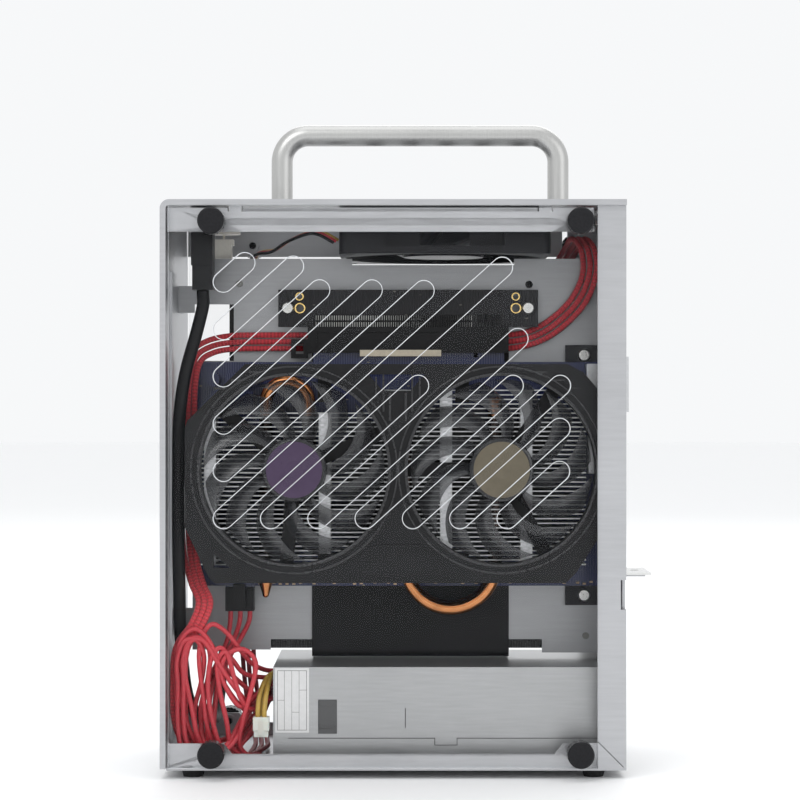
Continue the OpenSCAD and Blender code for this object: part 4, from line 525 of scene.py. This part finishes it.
LEAD_ROUTE = [
    [-83.2, -36, 206.8], [-83.2, -36, 204], [-83.2, -36, 200], [-86, -37.4, 188], [-90.6, -40.6, 170],
    [-93, -43.2, 150], [-93.3, -44, 124], [-93.3, -43.6, 98], [-93.2, -41, 80],
    [-93, -37.6, 60], [-92, -35, 42], [-90, -31, 28], [-86, -24, 19], [-83, -12, 16],
    [-81, 0, 15], [-80.5, 14, 17], [-80, 24, 25], [-79, 30, 38], [-75, 31, 54],
    [-69, 27, 68], [-68, 20.6, 70], [-68, 14.1, 70]
]
LEFT_LOOP = [
    [0, 0, 0], [-5, -1, -2], [-13, -8, -12], [-20, -16, -25], [-30, -18.6, -30.8], [-38.4, -18.8, -26],
    [-40.6, -18.9, -14], [-40.6, -18.9, 2], [-41, -18.7, 12], [-38, -18, 20.6],
    [-32.4, -17.4, 21], [-29.4, -15.6, 14], [-30.6, -14.6, 3], [-33.6, -13.4, -9],
    [-33, -12.2, -20], [-31, -11.4, -29], [-22, -9, -31], [-12, -2, -31]
]
RIGHT_LOOP = [
    [0, 0, 0], [-5, -2, 0], [-10, -8, -5], [-16, -15, -9], [-21, -17.6, -3], [-24.6, -18, 6],
    [-22, -17.6, 13.6], [-15, -17, 16], [-9.6, -16.4, 10], [-12, -16, -3],
    [-15, -15.6, -14], [-17, -14, -25], [-14, -9, -30.6], [-13, -3, -31]
]
LOOP_TAIL = [
    [-59.6, -8, 3.6], [-60, 10, 4], [-62, 26, 8], [-65.5, 36, 20], [-68, 41, 44],
    [-68.4, 41, 78], [-68.4, 37, 106], [-68.4, 29.6, 121], [-68.4, 21.5, 124]
]
LOOP_SHIFT = [[0, 0, 0], [0, 0.6, 0.4], [-2.6, -0.6, -0.6]]
PLUG_ROUTE = [
    [CARD_PLUG_X, -23.8, 69.3], [CARD_PLUG_X, -23.9, 62], [-70, -29, 54], [-74, -37, 46],
    [-78, -43, 37], [-80, -44, 26], [-80.6, -44.4, 14], [-78, -44.4, 5.6], [-71, -42, 4.4],
    [-64, -36, 12], [-56, -29.6, 26], [EXIT_X - 0.5, -28, 30.6]
]
PLUG_SHIFT = [
    [4.2, 0, 0], [4.2, 0, 0], [3.2, 0, 1], [2.8, 0, 1.4], [2.6, 0, 1],
    [2.6, 0, 0], [2.6, 0, 0], [0, 2.4, 0], [0, 2.4, 0],
    [0, 2.4, 0], [0, 2.6, 0], [0, 2.6, 0]
]
SUPPLY_ROUTE = [
    [EXIT_X - 0.5, -31, 38.6], [-53.4, -32.6, 39], [-56, -38, 36.5], [-58, -44.5, 31],
    [-58.6, -47.4, 25], [-58.6, -47.5, 21.8]
]
SUPPLY_SHIFT = [[0, 0, 0], [2.8, 0, 0], [1.4, 2.7, 0]]
FAN_ROUTE = [
    [-25, -40, 228], [-34, -40.6, 232], [-45, -34, 229], [-53, -22, 225], [-60, -10, 224.6],
    [-63, 2, 222], [-60, 10, 216], [-50, 12, 212], [-40, 9, 210]
]
LOOP_START = [EXIT_X - 0.6, -31.6, 34.8]
TAIL_SHIFT = [[0, 0, 0], [-2.6, 0, 0.4], [2.6, 0, 0.2]]

# End of routes

# Pieces


def fanned(points, start, end):
    """Points with one offset at the start that turns into another over three points."""
    out = []
    for i, p in enumerate(points):
        w = min(i / 3, 1)
        out.append(tuple(a + (1 - w) * b + w * c for a, b, c in zip(p, start, end)))
    return out


BRAID = braid("red_braid", (0.60, 0.045, 0.06), 3.2, 6)
STEPS = 5
STRAND_R = 1.27 * MM
LEAD_R = 2.76 * MM
WIRE = 1.07 * MM
THIN_WIRE = 0.69 * MM

strands = Builder()
for k in (-1, 0, 1):
    strands.tube(smooth_path(one_of_three(STRAND_ROUTE, STRAND_SHIFT, k), STEPS), STRAND_R)
strands.piece("cpu_strands", BRAID, replaced=["cpu_cable"])

lead = Builder()
lead.tube(smooth_path(LEAD_ROUTE, STEPS), LEAD_R, 20)
lead.piece("port_lead", PLAIN["jacket"], replaced=["usb_lead"])

loops = Builder()
for k, loop in enumerate((LEFT_LOOP, RIGHT_LOOP, LEFT_LOOP)):
    route = fanned(shifted(loop, LOOP_START), (0, k * EXIT_GAP, 0), LOOP_SHIFT[k])
    loops.tube(smooth_path(route + shifted(LOOP_TAIL, TAIL_SHIFT[k]), STEPS), WIRE, 12)
for k in (-1, 0, 1):
    loops.tube(smooth_path(one_of_three(PLUG_ROUTE, PLUG_SHIFT, k), STEPS), WIRE, 12)
loops.piece("slack_wires", PLAIN["red"], replaced=["wire_loops"])

# More red wires of the tangle, each from the supply's end round a loop and down to the floor
EXTRA_WIRES = [
    [(-22.2, 28.4), (-58, -26, 27), (-62, -34, 31), (-72, -46, 42), (-80, -48, 52), (-86, -48, 57),
     (-91, -47.6, 53), (-93, -48.8, 44), (-92, -49.4, 30), (-88, -47.5, 16), (-82, -44, 6), (-72, -38, 4),
     (-60, -30, 3.8)],
    [(-22.2, 31.4), (-57, -28, 29), (-61, -38, 25), (-68, -48, 34), (-76, -50, 46), (-82, -50, 55),
     (-88, -49.8, 54), (-90, -50, 42), (-87, -50, 26), (-84, -49, 12), (-78, -43, 5), (-66, -36, 3.8)],
    [(-22.2, 34.4), (-57, -27, 30), (-62, -36, 24), (-66, -45, 26), (-74, -48.4, 38), (-77, -49.4, 50),
     (-82, -49.6, 58), (-87, -49.8, 60), (-92.4, -50, 54), (-94, -50, 40), (-93, -49, 24), (-88, -47, 9),
     (-76, -38, 4.2)],
    [(-22.2, 37.4), (-57, -28, 37), (-65, -40, 40), (-70, -47, 47), (-75, -49, 52), (-79, -49.6, 46),
     (-80, -49.6, 34), (-78, -49, 20), (-74, -46, 8), (-66, -40, 4), (-58, -34, 3.8)],
    [(-33.6, 28.6), (-56, -36, 27), (-62, -44, 25), (-66, -48, 30), (-69, -49.4, 40), (-72, -49.6, 50),
     (-76, -49, 46), (-75, -49.6, 34), (-72, -49, 20), (-70, -45, 8), (-62, -38, 4)],
    [(-19.2, 39), (-57, -24, 40), (-62, -36, 44), (-66, -44, 50), (-72, -46, 58), (-78, -47, 62),
     (-82, -47.4, 58), (-84, -48.6, 48), (-82, -48.6, 30), (-80, -47, 16), (-75, -42, 6), (-64, -34, 4)],
]
tangle = Builder()
for (y, z), *route in EXTRA_WIRES:
    tangle.tube(smooth_path([(EXIT_X, y, z), (EXIT_X - 3, y, z)] + route, STEPS), WIRE, 12)
tangle.piece("tangle_wires", PLAIN["red"])

THIN = [("fan_wire_black", "jacket"), ("fan_wire_red", "red"), ("fan_wire_yellow", "yellow")]
for k, (name, finish_name) in zip((-1, 0, 1), THIN):
    wire = Builder()
    wire.tube(smooth_path(shifted(FAN_ROUTE, (k, k, 0.6 * k)), STEPS), THIN_WIRE, 10)
    wire.piece(name, PLAIN[finish_name], replaced=["fan_lead"] if k == -1 else ())


def blade_point(u, v, inner, outer, chord, depth, sweep, z0):
    """A point of a sickle blade: u runs from the hub to the tip, v across the blade."""
    r = inner + (outer - inner) * u
    a = math.radians(sweep * u ** 1.5 + chord * (v - 0.5) * (1 + 0.25 * u))
    z = z0 + depth * (v - 0.5 + 0.12 * math.sin(math.pi * v))
    return r * math.cos(a), r * math.sin(a), z


def rotor(name, node, body, centre, front, hub, tip, hub_h, depth, count, sweep, chord, turn, material):
    """A rotor with a rounded hub and curved blades. front is the way that its face looks."""
    built = Builder()
    across = front.orthogonal().normalized() if abs(front.y) < 0.5 else Vector((1, 0, 0))
    up = front.cross(across)
    hub_r = hub / 2
    profile = [(0, 0), (0, hub_r - 0.2), (hub_h - 1.6, hub_r - 0.1), (hub_h - 0.5, hub_r - 0.6),
               (hub_h - 0.05, hub_r - 1.8), (hub_h - 0.05, 0)]
    built.turned(centre, front, profile, 64)
    rows, columns, thick = 14, 6, 0.9
    for b in range(count):
        spin = Matrix.Rotation(math.radians(turn + 360 * b / count), 3, front)
        sheets = []
        for side in (-0.5, 0.5):
            grid = []
            for i in range(rows + 1):
                line = []
                for j in range(columns + 1):
                    x, y, z = blade_point(i / rows, j / columns, hub_r - 0.5, tip / 2 - 0.1, chord, depth,
                                          sweep, hub_h / 2)
                    edge = 1 - 0.7 * abs(2 * j / columns - 1) ** 3
                    z += side * thick * edge
                    offset = (across * x + up * y + front * z) * MM
                    line.append(built.mesh.verts.new(centre + spin @ offset))
                grid.append(line)
            sheets.append(grid)
        low, high = sheets
        for i in range(rows):
            for j in range(columns):
                for grid in (low, high):
                    corners = (grid[i][j], grid[i + 1][j], grid[i + 1][j + 1], grid[i][j + 1])
                    built.mesh.faces.new(corners).smooth = True
        ring = ([(0, j) for j in range(columns)] + [(i, columns) for i in range(rows)]
                + [(rows, j) for j in range(columns, 0, -1)] + [(i, 0) for i in range(rows, 0, -1)])
        for k, (i, j) in enumerate(ring):
            m, n = ring[(k + 1) % len(ring)]
            built.mesh.faces.new((low[i][j], low[m][n], high[m][n], high[i][j])).smooth = True
    return built.piece(name, material, body, [node])


NEAR = Vector((0, -1, 0))
CARD_MID_X = 1.95
CARD_FAN_X = (CARD_MID_X - 44.85, CARD_MID_X + 44.85)
CARD_MID_Z = 128.8
CARD_HUB_Y = -50.5 + 0.9
HUB_H = 8
for k, (node, body) in enumerate((("card_fan_front", "card_fan_1"), ("card_fan_rear", "card_fan_2"))):
    rotor("rotor_" + body, node, body, at(CARD_FAN_X[k], CARD_HUB_Y + HUB_H, CARD_MID_Z), NEAR,
          hub=28.4, tip=78.5, hub_h=HUB_H, depth=6, count=11, sweep=36, chord=19, turn=k * 14,
          material=PLAIN["smoke"])

# Small parts

GOLD = surface("gold_plate", (0.85, 0.62, 0.25), 0.25, 1.0, (2000, 2000, 2000), 0.1)
CHIP = surface("chip_package", (0.03, 0.03, 0.033), 0.5, 0.0, (2500, 2500, 2500), 0.3)
CERAMIC = surface("small_ceramic", (0.38, 0.27, 0.17), 0.5, 0.0, (3000, 3000, 3000), 0.3)
CAN = surface("can_aluminium", (0.6, 0.61, 0.62), 0.32, 1.0, (900, 900, 900), 0.12)
TAN = surface("tan_paper", (0.62, 0.55, 0.43), 0.7, 0.0, (900, 900, 900), 0.1)

CARD_Y = -16.6
BOARD_Y = 1.2

rings = Builder()
for x, z, r in ((-41.6, 199.8, 3.4), (-41.8, 205.0, 2.4), (54.4, 199.8, 3.4), (54.3, 205.0, 2.4)):
    profile = [(0.0, r / 2), (0.0, r / 2 + 0.75), (0.08, r / 2 + 0.7), (0.08, r / 2 + 0.02), (0.0, r / 2)]
    rings.turned(at(x, CARD_Y, z), NEAR, profile, 40)
rings.piece("riser_hole_rings", GOLD)

card_parts = Builder()
for x in range(-60, 90, 3):
    if rng.random() < 0.6:
        z = 76.9 + rng.random() * 1.2
        card_parts.box((x, x + 1.4), (CARD_Y - 0.6, CARD_Y), (z, z + 0.8), 0.1)
card_parts.piece("card_edge_parts", CERAMIC)

SOLDER = surface("bright_solder", (0.62, 0.62, 0.60), 0.3, 0.9, (3000, 3000, 3000), 0.15)
PIN_COUNT = 82
PIN_KEY = (69, 70, 71)
PIN_X0 = -34.6
PIN_PITCH = 1.013
pins = Builder()
for k in range(PIN_COUNT):
    if k in PIN_KEY:
        continue
    x = PIN_X0 + k * PIN_PITCH
    for z in (191.5, 194.4):
        pins.box((x, x + 0.42), (CARD_Y - 0.3, CARD_Y), (z, z + 2.1), 0.06)
pins.piece("riser_solder_pins", SOLDER)

stickers = Builder()
stickers.sheet([(-14.9, 178.4), (21.1, 178.4), (21.1, 181.2), (-14.9, 181.2)], -19.62, 0.06)
stickers.piece("slot_strip", TAN)

board_parts = Builder()
caps = Builder()
small = Builder()
for i in range(9):
    z = 100 + 8.2 * i
    board_parts.box((66 - 14, 66 - 8), (BOARD_Y, BOARD_Y + 1.4), (z, z + 6), 0.15)
for i in range(6):
    caps.turned(at(-30 + 8 * i, BOARD_Y, 196), Vector((0, 1, 0)),
                [(0, 0), (0, 2.6), (1.0, 3.1), (1.4, 2.9), (6.6, 2.95), (7.0, 2.6), (7.0, 0)], 28)
for n in range(170):
    x, z = rng.uniform(-70, 74), rng.uniform(51, 214)
    if abs(x - 20) < 26 and abs(z - 135.4) < 26 or x < -40 and 60 < z < 205:
        continue
    long, tall = rng.choice([(1.6, 0.8), (1.0, 0.5), (2.0, 1.2), (0.8, 1.6)])
    small.box((x, x + long), (BOARD_Y, BOARD_Y + 0.6), (z, z + tall), 0.08)
for x, z, w in ((-20, 62, 9), (62, 186, 7), (4, 198, 6), (-34, 200, 6)):
    board_parts.box((x, x + w), (BOARD_Y, BOARD_Y + 1.1), (z, z + w), 0.15)
board_parts.piece("board_chips", CHIP)
caps.piece("board_cans", CAN)
small.piece("board_small_parts", CERAMIC)

# Card and supply details

STICKERS = {"card_fan_1": (0.065, 0.04, 0.085), "card_fan_2": (0.14, 0.12, 0.085)}
for k, (body, color) in enumerate(STICKERS.items()):
    disc = Builder()
    profile = [(0, 0), (0, 12.2), (0.07, 12.2), (0.1, 12.0), (0.1, 4.2), (0.06, 4.0), (0.1, 3.8), (0.1, 0)]
    disc.turned(at(CARD_FAN_X[k], CARD_HUB_Y, CARD_MID_Z), NEAR, profile, 64)
    disc.piece("hub_disc_" + body, surface("hub_foil_" + body, color, 0.3, 0.4, (300, 300, 300), 0.1), body)

FIN_FACE = -38.0
FIN_FOOT = 87
FIN_PITCH = 2
nibs = Builder()
for x, count in ((-80, 34), (-30, 34), (23, 39), (58, 39)):
    for i in range(count - 1):
        z = FIN_FOOT + FIN_PITCH * i
        shift = 0.35 if i % 2 else -0.35
        nibs.box((x - 2.1 + shift, x + 0.3 + shift), (FIN_FACE - 0.28, FIN_FACE), (z + 0.55, z + 1.75), 0.1)
        nibs.box((x + 0.8 + shift, x + 2.2 + shift), (FIN_FACE - 0.16, FIN_FACE), (z + 0.2, z + 1.0), 0.06)
nibs.piece("fin_lock_tabs", surface("bright_fin", (0.62, 0.62, 0.64), 0.3, 1.0, (900, 900, 900), 0.2))

SUPPLY_FACE = -43.4
GROOVE = SUPPLY_FACE + 0.42
label = Builder()
label.sheet([(-51.4, 14.6), (-36.6, 14.6), (-36.6, 42.6), (-51.4, 42.6)], SUPPLY_FACE - 0.1, 0.1)
label.piece("supply_blank_plate", surface("pale_foil", (0.70, 0.70, 0.70), 0.35, 0.5, (500, 500, 500), 0.06))
frame_lines = Builder()
for x0, x1, z0, z1 in ((-50.4, -37.6, 41.4, 41.6), (-50.4, -37.6, 15.6, 15.8), (-50.4, -50.2, 15.6, 41.6),
                       (-37.8, -37.6, 15.6, 41.6), (-47.4, -47.25, 15.8, 41.4), (-44.2, -44.05, 15.8, 41.4),
                       (-41.0, -40.85, 15.8, 41.4), (-50.2, -47.4, 28.6, 28.75), (-41.0, -37.8, 33.0, 33.15),
                       (-44.2, -41.0, 23.4, 23.55)):
    frame_lines.box((x0, x1), (SUPPLY_FACE - 0.13, SUPPLY_FACE - 0.1), (z0, z1))
for x0, x1 in ((-45.7, 17.8), (27.8, 94.8)):
    frame_lines.box((x0, x1), (GROOVE, GROOVE + 0.06), (12.02, 12.33))
for x0, x1, z0, z1 in ((17.82, 18.13, 9.02, 12.3), (27.5, 27.8, 9.02, 12.3), (17.82, 27.8, 9.02, 9.33),
                       (5.02, 5.38, 16.62, 25.28)):
    frame_lines.box((x0, x1), (GROOVE, GROOVE + 0.06), (z0, z1))
frame_lines.piece("supply_lines", surface("dark_line", (0.10, 0.10, 0.10), 0.6, 0.0, (900, 900, 900), 0.1))
latch = Builder()
latch.box((-32.7, -24.5), (GROOVE, GROOVE + 0.06), (14.1, 28.9))
for z in (16.4, 26.0):
    latch.box((-31.8, -25.4), (SUPPLY_FACE + 0.1, GROOVE), (z, z + 1.0), 0.12)
for z in (18.2, 24.2):
    latch.box((-32.4, -31.4), (SUPPLY_FACE + 0.05, GROOVE), (z, z + 1.6), 0.12)
latch.piece("supply_latch", surface("latch_grey", (0.09, 0.09, 0.092), 0.55, 0.2, (700, 700, 700), 0.2))

# Raised lips and lines of the card's fan cover

SHROUD_Y = -50.5
lips = Builder()
for x in CARD_FAN_X:
    centre = at(x, SHROUD_Y, CARD_MID_Z)
    for inner, outer, height in ((40.66, 42.0, 0.55), (44.2, 45.0, 0.35)):
        profile = [(0, inner), (height - 0.1, inner), (height, inner + 0.1), (height, outer - 0.1),
                   (height - 0.1, outer), (0, outer)]
        lips.turned(centre, NEAR, profile, 96)
for side in (-1, 1):
    for out, z, w, h in ((3.4, 150, 1.0, 12), (6.2, 154, 0.8, 16), (9.4, 160, 0.8, 9)):
        x = CARD_MID_X + side * out
        lips.box((x - w / 2, x + w / 2), (SHROUD_Y - 0.4, SHROUD_Y), (z, z + h), 0.12)
    for k in range(3):
        x = CARD_MID_X + side * (62 + 7.5 * k)
        lips.box((x - 2.4, x + 2.4), (SHROUD_Y - 0.3, SHROUD_Y), (170.6 - 3.5 * k, 171.4 - 3.5 * k), 0.1)
lips.piece("cover_relief", surface("cover_gloss", (0.02, 0.02, 0.022), 0.28, 0.0, (900, 900, 900), 0.25))

# Loose white plug on the yellow wires

supply = Builder()
for k in range(3):
    route = fanned(SUPPLY_ROUTE, (0, k * EXIT_GAP, 0), SUPPLY_SHIFT[k])
    supply.tube(smooth_path(route, 6), WIRE, 14)
supply.piece("supply_wires", PLAIN["yellow"], replaced=["psu_wires"])
MILKY = surface("milky_nylon", (0.72, 0.70, 0.62), 0.35, 0.0, (600, 600, 600), 0.06)
MILKY.node_tree.nodes["Principled BSDF"].inputs["Subsurface Weight"].default_value = 0.2
plug = Builder()
plug.box((-60.7, -53.7), (-49.8, -43.4), (16.0, 22.0), 0.4)
plug.box((-60.3, -54.1), (-49.4, -43.8), (13.3, 16.2), 0.3)
plug.box((-58.4, -56.0), (-49.85, -49.3), (14.0, 20.5), 0.2)
for x in (-59.4, -57.2, -55.0):
    plug.box((x - 0.7, x + 0.7), (-47.6, -45.2), (13.1, 13.6), 0.1)
plug.piece("loose_plug", MILKY)

# Frosted cut edges of the slots in both clear sides

FIRST_SLOT = (-72.7, 108.3)
SLOT_STEP = 20.25
SLOT_TURN = math.radians(42)
SLOT_R = 4.3
COLUMN = [160.6, 115.4, 85.5, 55.3, 40.2, 12.2]
ROW = [85, 115, 85, 85, 57.5, 30]
SLOTS = ([(FIRST_SLOT[0], FIRST_SLOT[1] + n * SLOT_STEP, l) for n, l in enumerate(COLUMN)]
         + [(FIRST_SLOT[0] + (n + 1) * SLOT_STEP, FIRST_SLOT[1], l) for n, l in enumerate(ROW)])


def stadium(x, z, length, radius):
    """Outline of a slanted slot that starts at x, z."""
    c, s = math.cos(SLOT_TURN), math.sin(SLOT_TURN)
    points = [(radius * math.sin(t), -radius * math.cos(t)) for t in (math.pi * k / 16 for k in range(17))]
    local = [(length + a, b) for a, b in points] + [(-a, -b) for a, b in points]
    return [(x + a * c - b * s, z + a * s + b * c) for a, b in local]


FROST = surface("frosted_edge", (0.74, 0.76, 0.78), 0.5, 0.0, (1800, 1800, 1800), 0.06)
FROST_T = 0.06
FROST_R = (SLOT_R + 0.02, SLOT_R + 0.30)
for name, y in (("near", -59.96), ("far", 59.9)):
    edges = Builder()
    for slot in SLOTS:
        outlines = [[edges.mesh.verts.new(at(px, depth, pz)) for px, pz in stadium(*slot, radius)]
                    for depth in (y, y + FROST_T) for radius in FROST_R]
        n = len(outlines[0])
        for a, b in ((0, 1), (1, 3), (3, 2), (2, 0)):
            for k in range(n):
                m = (k + 1) % n
                edges.mesh.faces.new((outlines[a][k], outlines[a][m], outlines[b][m], outlines[b][k]))
    edges.piece("slot_edges_" + name, FROST)

# Floor

bpy.ops.mesh.primitive_circle_add(vertices=96, radius=9, fill_type="NGON", location=(0, 0, 0))
floor = bpy.context.object
floor.name = "floor"
floor.data.materials.append(surface("pale_floor", (0.97, 0.972, 0.975), 0.6, 0.0, (3, 3, 3), 0.005, 0.0))
